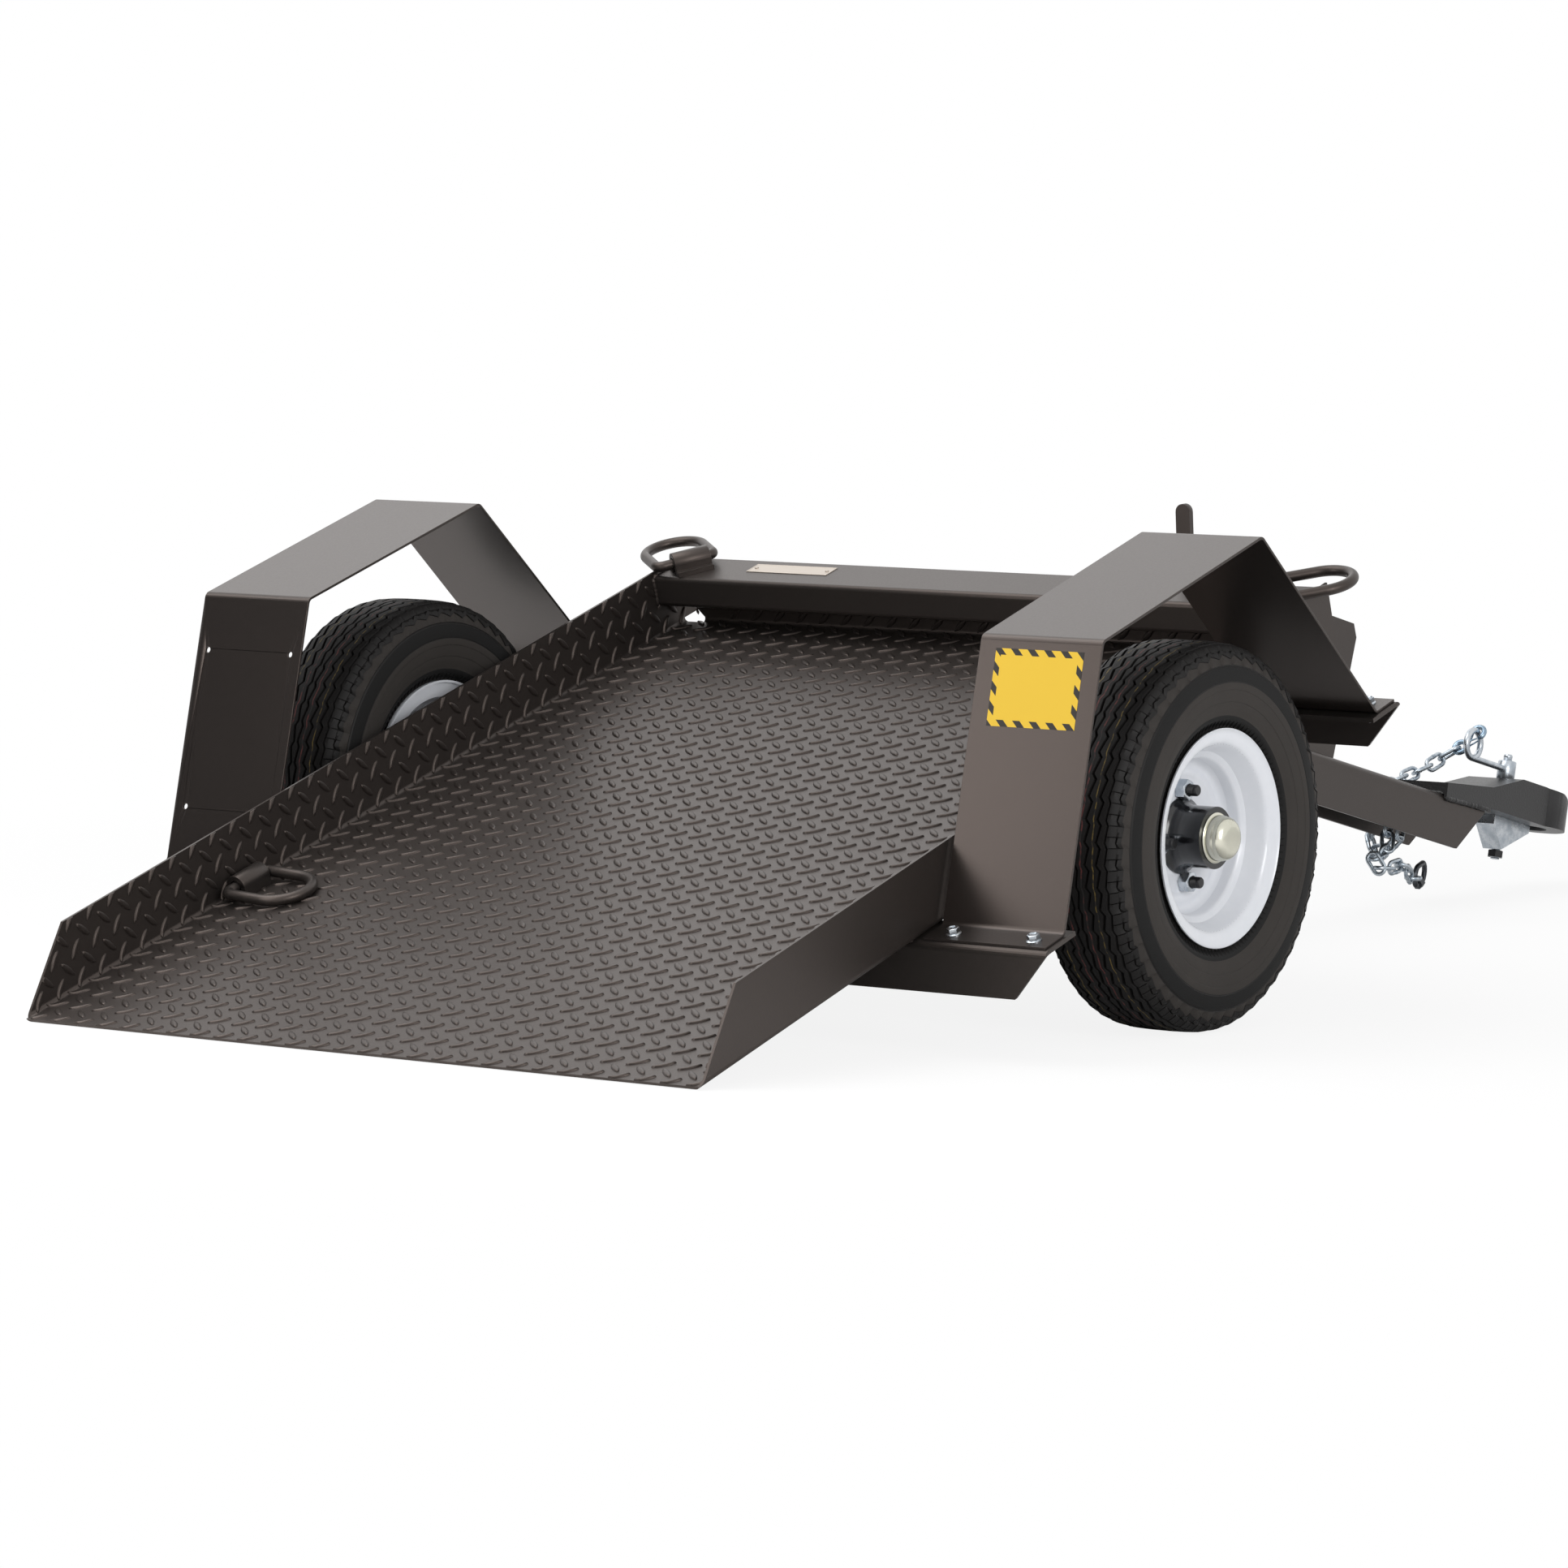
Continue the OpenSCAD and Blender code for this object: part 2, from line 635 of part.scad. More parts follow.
module tongue_channel() color(black) on_tongue() {
    top = tongue_h / 2;
    back = -28;
    r = 6;
    difference() {
        intersection() {
            translate([back, 0, 0]) rotate([90, 0, 90]) linear_extrude(tongue_l - back) difference() {
                union() {
                    translate([-tongue_w / 2, -top]) square([tongue_w, tongue_h - r]);
                    translate([-tongue_w / 2 + r, top - r]) square([tongue_w - 2 * r, r]);
                    for (s = [-1, 1]) translate([s * (tongue_w / 2 - r), top - r]) circle(r);
                }
                translate([-tongue_w / 2 + tongue_t, -top - 1])
                    square([tongue_w - 2 * tongue_t, tongue_h - tongue_t + 1]);
            }
            between(-tongue_w, tongue_w) polygon([
                [back, -top], [back, top], [tongue_l, top], [tongue_l - tongue_cut, -top]
            ]);
        }
        rotate([90, 0, 0]) cylinder(r = hinge_r + fit, h = tongue_w + 2, center = true);
    }
}

post_w = 60;
post_d = 66;
post_lean = 6;
post_wall = 4;

module stop_post() color(black) on_tongue() difference() {
    between(-post_w / 2, post_w / 2) post_outline(0);
    between(-post_w / 2 + post_wall, post_w / 2 - post_wall) post_outline(post_wall);
}

module post_outline(inset) translate([post_x, tongue_h / 2]) {
    lean = tan(post_lean);
    base = inset > 0 ? -1 : 0;
    top = post_h - inset;
    polygon([
        [-post_d + inset + lean * base, base], [-inset + lean * base, base],
        [-inset + lean * (top - 16), top - 16], [-12 - inset + lean * top, top],
        [-post_d + inset + lean * top, top]
    ]);
}

module coupler_side() polygon([
    [coupler_back, tongue_h / 2 - 6], [coupler_back, tongue_h / 2 + 15], [tongue_l, tongue_h / 2 + 28],
    [tongue_l + 76, coupler_top], [tongue_l + 140, coupler_top], [ball_x, coupler_top - 3],
    [ball_x + 34, coupler_top - 15], [ball_x + 47, coupler_top - 27], [ball_x + nose_r, tongue_h / 2 + 3],
    [ball_x + nose_r - 1, tongue_h / 2], [tongue_l, tongue_h / 2], [tongue_l, tongue_h / 2 - 6]
]);

module coupler_housing() color("#232325") on_tongue() difference() {
    intersection() {
        between(-60, 60) coupler_side();
        translate([0, 0, -100]) linear_extrude(300) {
            translate([coupler_back, -42]) square([ball_x - coupler_back, 84]);
            translate([ball_x, 0]) circle(nose_r);
        }
    }
    translate([coupler_back - 1, -tongue_w / 2, -10]) cube([tongue_l - coupler_back + 1, tongue_w, 10 + tongue_h / 2]);
    translate([ball_x, 0, ball_z]) sphere(ball_r + 0.8);
    translate([ball_x, 0, ball_z - 60]) cylinder(r = ball_r + 0.8, h = 60);
    translate([bolt_x - 40, -15, tongue_h / 2 - 1]) cube([ball_x - bolt_x + 40, 30, 24]);
    translate([bolt_x, 0, 0]) cylinder(r = 6.5, h = 200);
}

module coupler_jaw() color(zinc) on_tongue() {
    difference() {
        between(-14, 14) polygon([
            [bolt_x - 38, tongue_h / 2 + 2], [bolt_x - 38, tongue_h / 2 - 12], [bolt_x - 10, tongue_h / 2 - 42],
            [ball_x - 18, tongue_h / 2 - 10], [ball_x - 16, tongue_h / 2 + 2]
        ]);
        translate([ball_x, 0, ball_z]) sphere(ball_r + 1);
        translate([bolt_x, 0, -50]) cylinder(r = 6.3, h = 200);
    }
}

module coupler_handle() color(zinc) on_tongue() {
    translate([bolt_x, 0, tongue_h / 2 - 48]) cylinder(r = 6, h = 134);
    translate([bolt_x, 0, coupler_top + 1]) cylinder(r = 12, h = 24);
    rod_z = coupler_top + 13;
    round_bar([bolt_x - 10, 0, rod_z], [bolt_x - 66, 0, rod_z], 4.25);
    translate([bolt_x - 86, 0, rod_z + 8]) rotate([90, 0, 0]) rotate_extrude() translate([18, 0]) circle(4.25);
}

// One link with its length along X and its opening along Y
module link(length = link_in, gap = link_gap, d = chain_d) {
    bow = (gap + d) / 2;
    half = length / 2 + d / 2 - bow;
    for (s = [-1, 1]) {
        translate([-half, 0, s * bow]) rotate([0, 90, 0]) cylinder(r = d / 2, h = 2 * half);
        translate([s * half, 0, 0]) rotate([90, 0, 0]) rotate([0, 0, s > 0 ? -90 : 90])
            rotate_extrude(angle = 180) translate([bow, 0]) circle(d / 2);
    }
}

// Point at a distance along a route, and the distances of the route's points
function run_to(p, i) = i == 0 ? 0 : run_to(p, i - 1) + norm(p[i] - p[i - 1]);
function along(p, d, i = 1) =
    i >= len(p) - 1 || run_to(p, i) >= d
    ? p[i - 1] + (p[i] - p[i - 1]) * (d - run_to(p, i - 1)) / norm(p[i] - p[i - 1])
    : along(p, d, i + 1);

// Lays a shape that runs along X from a to b, rolled about its length
module laid(a, b, roll = 0) {
    v = b - a;
    translate((a + b) / 2) rotate([0, -asin(v.z / norm(v)), atan2(v.y, v.x)]) rotate([roll, 0, 0]) children();
}

// Links laid along a route, each a quarter turn from the last
chain_pitch = link_in - chain_slack;

module chain(route, roll) {
    count = floor(run_to(route, len(route) - 1) / chain_pitch);
    for (k = [0:count - 1])
        laid(along(route, k * chain_pitch), along(route, (k + 1) * chain_pitch), roll + 90 * (k % 2)) link();
}

// Routes of the two chains about the rod that they hang from
hanger_at = [tongue_l - 165, 0, 8];
hanger_r = 5;
lower_route = [
    [-12, -6, -8], [-13, -8, -53], [-45, -12, -66], [-76, -16, -82],
    [-60, -27, -92], [-10, -28, -74], [18, -22, -90], [50, -12, -84]
];
upper_route = [
    [8, 12, -8], [8, 24, -58], [14, 52, -54], [30, 53, -8],
    [62, 53, 36], [104, 52, 56], [138, 46, 68], [152, 32, 84]
];

module chain_hanger() color(black) on_tongue() translate(hanger_at) rotate([90, 0, 0])
    cylinder(r = hanger_r, h = tongue_w - 2 * tongue_t, center = true);

module upper_chain() color(chain_zinc) on_tongue() translate(hanger_at) chain(upper_route, 20);

module safety_hook() color("#8fa3b8") on_tongue() translate(hanger_at)
    laid([150, 34, 90], [158, 24, 118], 0) link(34, 16, 7);

module lower_chain() color(chain_zinc) on_tongue() translate(hanger_at) chain(lower_route, 60);

// The quick link is 40 mm long inside, and hangs in the lower chain's last link
quick_from = along(lower_route, chain_pitch * floor(run_to(lower_route, len(lower_route) - 1) / chain_pitch));
quick_way = [0.9, 0.26, 0.34];
quick_roll = 62;

module quick_link() color("#4b4d52") on_tongue() translate(hanger_at)
    laid(quick_from, quick_from + (40 - 2 * chain_slack) * quick_way / norm(quick_way), quick_roll) link(40, 18, 7);

tray();
cross_tube();
rear_crossmember();
front_crossmember();
floor_rails();
axle_beam();
spindle(1);  // spindle_left
spindle(-1);  // spindle_right
fender_left();
fender_right();
hinge_ears();
hinge_pin();
latch_lugs();
clip_rear(1);  // clip_rear_left
clip_rear(-1);  // clip_rear_right
clip_front(1);  // clip_front_left
clip_front(-1);  // clip_front_right
ring_rear(1);  // ring_rear_left
ring_rear(-1);  // ring_rear_right
ring_front(1);  // ring_front_left
ring_front(-1);  // ring_front_right
tyre(1);  // tyre_left
tyre(-1);  // tyre_right
rim(1);  // rim_left
rim(-1);  // rim_right
hub(1);  // hub_left
hub(-1);  // hub_right
dust_cap(1);  // dust_cap_left
dust_cap(-1);  // dust_cap_right
lug_nuts(1);  // lug_nuts_left
lug_nuts(-1);  // lug_nuts_right
tongue_channel();
latch_striker();
latch_lever();
stop_post();
coupler_housing();
chain_hanger();
coupler_jaw();
coupler_handle();
upper_chain();
safety_hook();
lower_chain();
quick_link();
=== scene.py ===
"""Finishes for a tilt trailer: tread plate, powder coat, tyres, rims, zinc hardware and a studio."""

import json
import math
import random

import bmesh
import bpy
from bpy.props import FloatProperty, FloatVectorProperty, IntProperty, PointerProperty
from mathutils import Matrix, Vector

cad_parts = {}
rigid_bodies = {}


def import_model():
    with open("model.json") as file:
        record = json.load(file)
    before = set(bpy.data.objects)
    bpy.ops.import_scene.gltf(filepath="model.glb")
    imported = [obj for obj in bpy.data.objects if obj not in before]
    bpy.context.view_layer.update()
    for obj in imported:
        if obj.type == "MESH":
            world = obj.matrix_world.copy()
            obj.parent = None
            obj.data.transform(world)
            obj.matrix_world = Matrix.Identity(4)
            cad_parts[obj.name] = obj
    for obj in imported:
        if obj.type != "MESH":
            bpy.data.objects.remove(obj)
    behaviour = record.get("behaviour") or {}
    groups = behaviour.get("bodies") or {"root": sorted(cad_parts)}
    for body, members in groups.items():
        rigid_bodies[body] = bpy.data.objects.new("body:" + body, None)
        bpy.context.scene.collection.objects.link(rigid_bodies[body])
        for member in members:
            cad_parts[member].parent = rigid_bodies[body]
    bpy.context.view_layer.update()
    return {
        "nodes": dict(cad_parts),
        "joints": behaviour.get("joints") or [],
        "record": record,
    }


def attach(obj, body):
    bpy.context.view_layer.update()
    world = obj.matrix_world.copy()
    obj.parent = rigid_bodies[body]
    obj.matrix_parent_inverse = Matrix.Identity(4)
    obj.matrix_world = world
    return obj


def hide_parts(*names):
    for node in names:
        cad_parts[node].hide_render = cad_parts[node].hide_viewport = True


bl_info = {
    "name": "Tilt Trailer Finishes",
    "version": (1, 0, 0),
    "blender": (4, 5, 0),
    "location": "3D View > Sidebar > Trailer",
    "description": "Dresses the tilt trailer's frame with its finishes, small fasteners and studio",
    "category": "Object",
}

for leftover in list(bpy.data.objects):
    bpy.data.objects.remove(leftover)
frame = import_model()

MM = 0.001
SIDES = {"left": 1, "right": -1}


# Places that come from the frame

def mount(name):
    """Place and direction of one of the record's mounts."""
    entry = next(m for m in frame["record"]["mounts"] if m["name"] == name)
    return Vector(entry["pos_m"]), Vector(entry["axis"])


def pivot(name):
    """Place of one of the record's joints."""
    return Vector(next(j for j in frame["joints"] if j["name"] == name)["pos_m"])


def level_frame(origin, up):
    """Frame of a level drawing with X forward, stood at origin with its Z along up."""
    forward = Vector((up.z, 0, -up.x))
    turned = Matrix((forward, Vector((0, 1, 0)), up)).transposed().to_4x4()
    return Matrix.Translation(origin) @ turned


def wheel_frame(name, side):
    """Frame on a wheel's axle: X forward along the deck, Y down and Z out."""
    axes = Matrix(((1, 0, 0), (0, 0, side), (0, -1, 0)))
    turned = (deck.to_3x3() @ axes).to_4x4()
    return Matrix.Translation(pivot(f"wheel_{name}_spin")) @ turned


# The floor's mount lies 600 mm ahead of the deck's rear edge, on top of the 3 mm sheet
FLOOR_MOUNT = Vector((600, 0, 3)) * MM
floor_place, floor_up = mount("load_floor")
deck = level_frame(floor_place, floor_up) @ Matrix.Translation(-FLOOR_MOUNT)
ball_place, ball_down = mount("ball_socket")
tongue = level_frame(pivot("tongue_hinge"), -ball_down)
wheels = {name: wheel_frame(name, side) for name, side in SIDES.items()}

# Deck sizes that the added pieces sit on, in millimetres
TRAY_HALF = 457
SHEET = 3
FOLD_IN = 5
WALL_H = 82
WALL_RAKE = 86
WALL_PAST = 19
TRAY_L = 1259
TUBE_TOP = 77
FENDER_IN = 462.7
FENDER_OUT = 616.7
FENDER_REAR = 401
FENDER_FRONT = 1133
REAR_FOOT = 440
REAR_TOP = 596
FENDER_H = 271.5
MEMBER_T = 5


# Colour and material helpers

def linear(code):
    """Linear RGBA of an sRGB hex value such as #2b2a2a."""
    channels = [int(code[i:i + 2], 16) / 255 for i in (1, 3, 5)]
    return [c / 12.92 if c <= 0.04045 else ((c + 0.055) / 1.055) ** 2.4 for c in channels] + [1]


def add(tree, kind, inputs=None, **settings):
    """Adds a node with its settings; inputs holds values or output sockets by socket name or number."""
    node = tree.nodes.new(kind)
    for name, value in settings.items():
        setattr(node, name, value)
    for name, value in (inputs or {}).items():
        socket = node.inputs[name]
        if isinstance(value, bpy.types.NodeSocket):
            tree.links.new(value, socket)
        else:
            socket.default_value = value
    return node


def start(name, **values):
    """New material, its node tree, its shader with the given constant sockets, and object coordinates."""
    material = bpy.data.materials.new(name)
    material.use_nodes = True
    tree = material.node_tree
    tree.nodes.clear()
    shader = add(tree, "ShaderNodeBsdfPrincipled", {k.replace("_", " "): v for k, v in values.items()})
    add(tree, "ShaderNodeOutputMaterial", {"Surface": shader.outputs[0]})
    place = add(tree, "ShaderNodeTexCoord").outputs["Object"]
    return material, tree, shader, place


def join(tree, shader, **sockets):
    """Joins output sockets to the shader's own, named with _ for a space."""
    for name, socket in sockets.items():
        tree.links.new(socket, shader.inputs[name.replace("_", " ")])


def per_metre(size_mm):
    """Texture scale at which one feature of the pattern is size_mm across."""
    return 1 / (size_mm * MM)


# Finishes, each named for what the real one is

def powder_coat(name, dark, light, roughness, peel_mm=2.2, peel=0.25):
    """Satin black polyester powder coat, sprayed and baked: even brown-black with a fine orange peel."""
    material, tree, shader, place = start(name, IOR=1.6, Specular_Tint=linear("#ffe9de"))
    drift = add(tree, "ShaderNodeTexNoise", {"Vector": place, "Scale": per_metre(180), "Detail": 4})
    tone = add(tree, "ShaderNodeMix", {
        0: drift.outputs[0], 6: linear(dark), 7: linear(light),
    }, data_type="RGBA")
    grain = add(tree, "ShaderNodeTexNoise", {"Vector": place, "Scale": per_metre(peel_mm), "Detail": 2})
    rough = add(tree, "ShaderNodeMapRange", {
        "Value": grain.outputs[0], "To Min": roughness - 0.05, "To Max": roughness + 0.05,
    })
    bump = add(tree, "ShaderNodeBump", {
        "Height": grain.outputs[0], "Strength": peel, "Distance": 0.12 * MM,
    })
    join(tree, shader, Base_Color=tone.outputs[2], Roughness=rough.outputs[0], Normal=bump.outputs[0])
    return material


def cast_coat(name, colour, roughness):
    """Black paint over a sand casting or a forging: a pebbled skin that breaks the highlight."""
    material, tree, shader, place = start(name, IOR=1.5, Base_Color=linear(colour))
    skin = add(tree, "ShaderNodeTexNoise", {"Vector": place, "Scale": per_metre(3), "Detail": 5})
    rough = add(tree, "ShaderNodeMapRange", {
        "Value": skin.outputs[0], "To Min": roughness - 0.08, "To Max": roughness + 0.08,
    })
    bump = add(tree, "ShaderNodeBump", {"Height": skin.outputs[0], "Strength": 0.6, "Distance": 0.4 * MM})
    join(tree, shader, Roughness=rough.outputs[0], Normal=bump.outputs[0])
    return material


def plated(name, light, shade, roughness, grain_mm=6, peel=0.2):
    """Electroplated zinc: bright metal with cloudy patches where the passivate took unevenly."""
    material, tree, shader, place = start(name, Metallic=1)
    cloud = add(tree, "ShaderNodeTexNoise", {"Vector": place, "Scale": per_metre(grain_mm), "Detail": 5})
    spread = add(tree, "ShaderNodeMapRange", {
        "Value": cloud.outputs[0], "From Min": 0.35, "From Max": 0.65,
    })
    tone = add(tree, "ShaderNodeMix", {
        0: spread.outputs[0], 6: linear(light), 7: linear(shade),
    }, data_type="RGBA")
    rough = add(tree, "ShaderNodeMapRange", {
        "Value": cloud.outputs[0], "To Min": roughness - 0.08, "To Max": roughness + 0.12,
    })
    fine = add(tree, "ShaderNodeTexNoise", {"Vector": place, "Scale": per_metre(0.8), "Detail": 3})
    bump = add(tree, "ShaderNodeBump", {"Height": fine.outputs[0], "Strength": peel, "Distance": 0.05 * MM})
    join(tree, shader, Base_Color=tone.outputs[2], Roughness=rough.outputs[0], Normal=bump.outputs[0])
    return material


def enamel(name, colour, shade, roughness, coat):
    """Stoved gloss enamel on pressed steel: a level wet-looking film with a trace of ripple."""
    material, tree, shader, place = start(name, IOR=1.5, Coat_Weight=coat, Coat_Roughness=0.06)
    ripple = add(tree, "ShaderNodeTexNoise", {"Vector": place, "Scale": per_metre(9), "Detail": 3})
    tone = add(tree, "ShaderNodeMix", {
        0: ripple.outputs[0], 6: linear(colour), 7: linear(shade),
    }, data_type="RGBA")
    rough = add(tree, "ShaderNodeMapRange", {
        "Value": ripple.outputs[0], "To Min": roughness - 0.04, "To Max": roughness + 0.04,
    })
    bump = add(tree, "ShaderNodeBump", {
        "Height": ripple.outputs[0], "Strength": 0.08, "Distance": 0.15 * MM,
    })
    join(tree, shader, Base_Color=tone.outputs[2], Roughness=rough.outputs[0], Normal=bump.outputs[0])
    return material


def rubber(name, dark, dusty, roughness):
    """Moulded carbon-black rubber: dull, with brownish bloom in patches and a leathery mould grain."""
    material, tree, shader, place = start(name, IOR=1.5, Specular_IOR_Level=0.25)
    bloom = add(tree, "ShaderNodeTexNoise", {"Vector": place, "Scale": per_metre(40), "Detail": 5})
    tone = add(tree, "ShaderNodeMix", {
        0: bloom.outputs[0], 6: linear(dark), 7: linear(dusty),
    }, data_type="RGBA")
    grain = add(tree, "ShaderNodeTexNoise", {"Vector": place, "Scale": per_metre(1.5), "Detail": 3})
    rough = add(tree, "ShaderNodeMapRange", {
        "Value": grain.outputs[0], "To Min": roughness - 0.06, "To Max": roughness + 0.06,
    })
    bump = add(tree, "ShaderNodeBump", {
        "Height": grain.outputs[0], "Strength": 0.25, "Distance": 0.12 * MM,
    })
    join(tree, shader, Base_Color=tone.outputs[2], Roughness=rough.outputs[0], Normal=bump.outputs[0])
    return material


def paint_line(name, colour):
    """Marking paint rolled on tyre rubber: chalky, worn thin so that rubber shows through."""
    material, tree, shader, place = start(name, IOR=1.5)
    worn = add(tree, "ShaderNodeTexNoise", {"Vector": place, "Scale": per_metre(7), "Detail": 4})
    gaps = add(tree, "ShaderNodeMapRange", {"Value": worn.outputs[0], "From Min": 0.42, "From Max": 0.58})
    tone = add(tree, "ShaderNodeMix", {
        0: gaps.outputs[0], 6: linear(colour), 7: linear("#1c1a19"),
    }, data_type="RGBA")
    rough = add(tree, "ShaderNodeMapRange", {"Value": worn.outputs[0], "To Min": 0.6, "To Max": 0.8})
    join(tree, shader, Base_Color=tone.outputs[2], Roughness=rough.outputs[0])
    return material


def brushed_aluminium(name):
    """Rolled aluminium plate, brushed: warm grey with hair-fine streaks, drawn 1 mm wide to show."""
    material, tree, shader, place = start(name, Metallic=1, Base_Color=linear("#b9b0a6"))
    along = add(tree, "ShaderNodeMapping", {"Vector": place, "Scale": (1, 0.03, 1)})
    streak = add(tree, "ShaderNodeTexNoise", {
        "Vector": along.outputs[0], "Scale": per_metre(1), "Detail": 4,
    })
    rough = add(tree, "ShaderNodeMapRange", {"Value": streak.outputs[0], "To Min": 0.3, "To Max": 0.55})
    bump = add(tree, "ShaderNodeBump", {
        "Height": streak.outputs[0], "Strength": 0.3, "Distance": 0.05 * MM,
    })
    join(tree, shader, Roughness=rough.outputs[0], Normal=bump.outputs[0])
    return material


def printed_vinyl(name, colour, ink, width, height, border, pitch):
    """Screen-printed vinyl label: flat yellow film with slanted ink stripes round its border."""
    material, tree, shader, _ = start(name, IOR=1.46, Roughness=0.5, Specular_IOR_Level=0.35)
    flat = add(tree, "ShaderNodeUVMap", uv_map="label").outputs[0]
    parts = add(tree, "ShaderNodeSeparateXYZ", {0: flat}).outputs
    inside = []
    for axis, size in ((0, width), (1, height)):
        centred = add(tree, "ShaderNodeMath", {0: parts[axis], 1: size * MM / 2}, operation="SUBTRACT")
        away = add(tree, "ShaderNodeMath", {0: centred.outputs[0]}, operation="ABSOLUTE")
        inside.append(add(tree, "ShaderNodeMath", {
            0: away.outputs[0], 1: (size / 2 - border) * MM,
        }, operation="GREATER_THAN").outputs[0])
    rim = add(tree, "ShaderNodeMath", {0: inside[0], 1: inside[1]}, operation="MAXIMUM")
    slant = add(tree, "ShaderNodeMath", {0: parts[0], 1: parts[1]}, operation="SUBTRACT")
    turns = add(tree, "ShaderNodeMath", {0: slant.outputs[0], 1: per_metre(pitch)}, operation="MULTIPLY")
    phase = add(tree, "ShaderNodeMath", {0: turns.outputs[0], 1: 10}, operation="ADD")
    saw = add(tree, "ShaderNodeMath", {0: phase.outputs[0]}, operation="FRACT")
    stripe = add(tree, "ShaderNodeMath", {0: saw.outputs[0], 1: 0.45}, operation="LESS_THAN")
    inked = add(tree, "ShaderNodeMath", {0: stripe.outputs[0], 1: rim.outputs[0]}, operation="MULTIPLY")
    tone = add(tree, "ShaderNodeMix", {0: inked.outputs[0], 6: colour, 7: linear(ink)}, data_type="RGBA")
    join(tree, shader, Base_Color=tone.outputs[2])
    return material


def build_finishes():
    """All finishes by name."""
    return {
        "tread_plate": powder_coat("tread_plate_powder_coat", "#1b1918", "#24211f", 0.42, 1.6, 0.4),
        "frame_black": powder_coat("frame_powder_coat", "#1a1918", "#201e1d", 0.4),
        "fender_black": powder_coat("fender_powder_coat", "#1a1817", "#1f1c1b", 0.32),
        "cast_black": cast_coat("cast_coupler_paint", "#161516", 0.36),
        "hub_black": enamel("hub_gloss_enamel", "#0d0d0f", "#141417", 0.22, 0.4),
        "bare_steel": plated("oiled_dark_steel", "#5a5c60", "#3c3e42", 0.42),
        "zinc": plated("bright_zinc_plate", "#ccd1d6", "#aab2ba", 0.26, 12),
        "cap_zinc": plated("clear_yellowish_zinc_plate", "#dcdacb", "#d2d1c2", 0.22, 30, 0.05),
        "chain_zinc": plated("chain_zinc_plate", "#c2c9cf", "#98a3ad", 0.34, 5),
        "hook_blue_zinc": plated("blue_zinc_plate", "#a9bccb", "#8095a8", 0.3, 6),
        "rim_enamel": enamel("rim_stoved_enamel", "#e3e5ea", "#dcdfe5", 0.3, 0.5),
        "tyre": rubber("tyre_rubber", "#131212", "#1b1918", 0.6),
        "tyre_smooth": rubber("tyre_smooth_band", "#0b0b0b", "#100f0f", 0.7),
        "tyre_matt": rubber("tyre_matt_band", "#2f2c2a", "#383431", 0.74),
        "line_red": paint_line("red_tyre_line", "#5a2826"),
        "line_yellow": paint_line("yellow_tyre_line", "#6b5929"),
        "stud_black": cast_coat("black_oxide_stud", "#131315", 0.4),
        "aluminium": brushed_aluminium("brushed_aluminium_plate"),
    }


# Mesh helpers

def loft(bm, rings, ends="cap", material=0):
    """Skin over closed rings of points; ends is cap, open or join, which joins the last ring to the first."""
    rows = [[bm.verts.new(point) for point in ring] for ring in rings]
    pairs = list(zip(rows, rows[1:]))
    if ends == "join":
        pairs.append((rows[-1], rows[0]))
    for a, b in pairs:
        for i in range(len(a)):
            j = (i + 1) % len(a)
            bm.faces.new((a[i], a[j], b[j], b[i])).material_index = material
    if ends == "cap":
        bm.faces.new(rows[0]).material_index = material
        bm.faces.new(rows[-1]).material_index = material
    return rows


def circle(radius, z, steps):
    """Points of a circle about Z."""
    return [Vector((radius * math.cos(a), radius * math.sin(a), z))
            for a in (2 * math.pi * k / steps for k in range(steps))]


def turned(bm, place, profile, steps=32, ends="cap", material=0):
    """Solid turned about Z from (radius, height) pairs in millimetres, set in place."""
    rings = [[place @ (point * MM) for point in circle(r, z, steps)] for r, z in profile]
    return loft(bm, rings, ends, material)


def hexagon(across, angle):
    """Radius of a hexagon, given across its flats, at an angle."""
    return across / 2 / math.cos((angle + math.pi / 6) % (math.pi / 3) - math.pi / 6)


HEX_STEPS = 48


def hex_solid(bm, place, across, low, high, face_r, bore=0, dish=0, material=0):
    """Chamfered hexagon between two heights, bored through as a nut or dished on top as a bolt head."""
    angles = [2 * math.pi * k / HEX_STEPS for k in range(HEX_STEPS)]

    def ring(radius_at, height_at):
        return [place @ (Vector((radius_at(a) * math.cos(a), radius_at(a) * math.sin(a), height_at(a))) * MM)
                for a in angles]

    def flats(angle):
        return hexagon(across, angle)

    def chamfer(angle):
        return high - max(0, flats(angle) - face_r) * math.tan(math.radians(30))

    def round_ring(radius, height):
        return ring(lambda a: radius, lambda a: height)

    rings = [ring(flats, lambda a: low), ring(flats, chamfer), round_ring(face_r, high)]
    if bore:
        mouth = 0.8
        rings += [round_ring(bore + mouth, high), round_ring(bore, high - mouth), round_ring(bore, low)]
        loft(bm, rings, "join", material)
    else:
        rings += [round_ring(face_r * 0.86, high), round_ring(face_r * 0.7, high - dish)]
        loft(bm, rings, "cap", material)


def threaded_rod(bm, place, radius, low, high, pitch, material=0):
    """Rod with a ridge to each pitch, drawn 0.45 mm deep, and a bevelled end."""
    depth = 0.45
    bevel = 1.2
    profile = [(radius - 0.3, low)]
    for k in range(int((high - low - 2) / pitch)):
        z = low + k * pitch
        profile += [(radius - depth, z + 0.1 * pitch), (radius, z + 0.6 * pitch)]
    profile += [(radius - 0.2, high - bevel), (radius - bevel, high)]
    turned(bm, place, profile, 24, material=material)


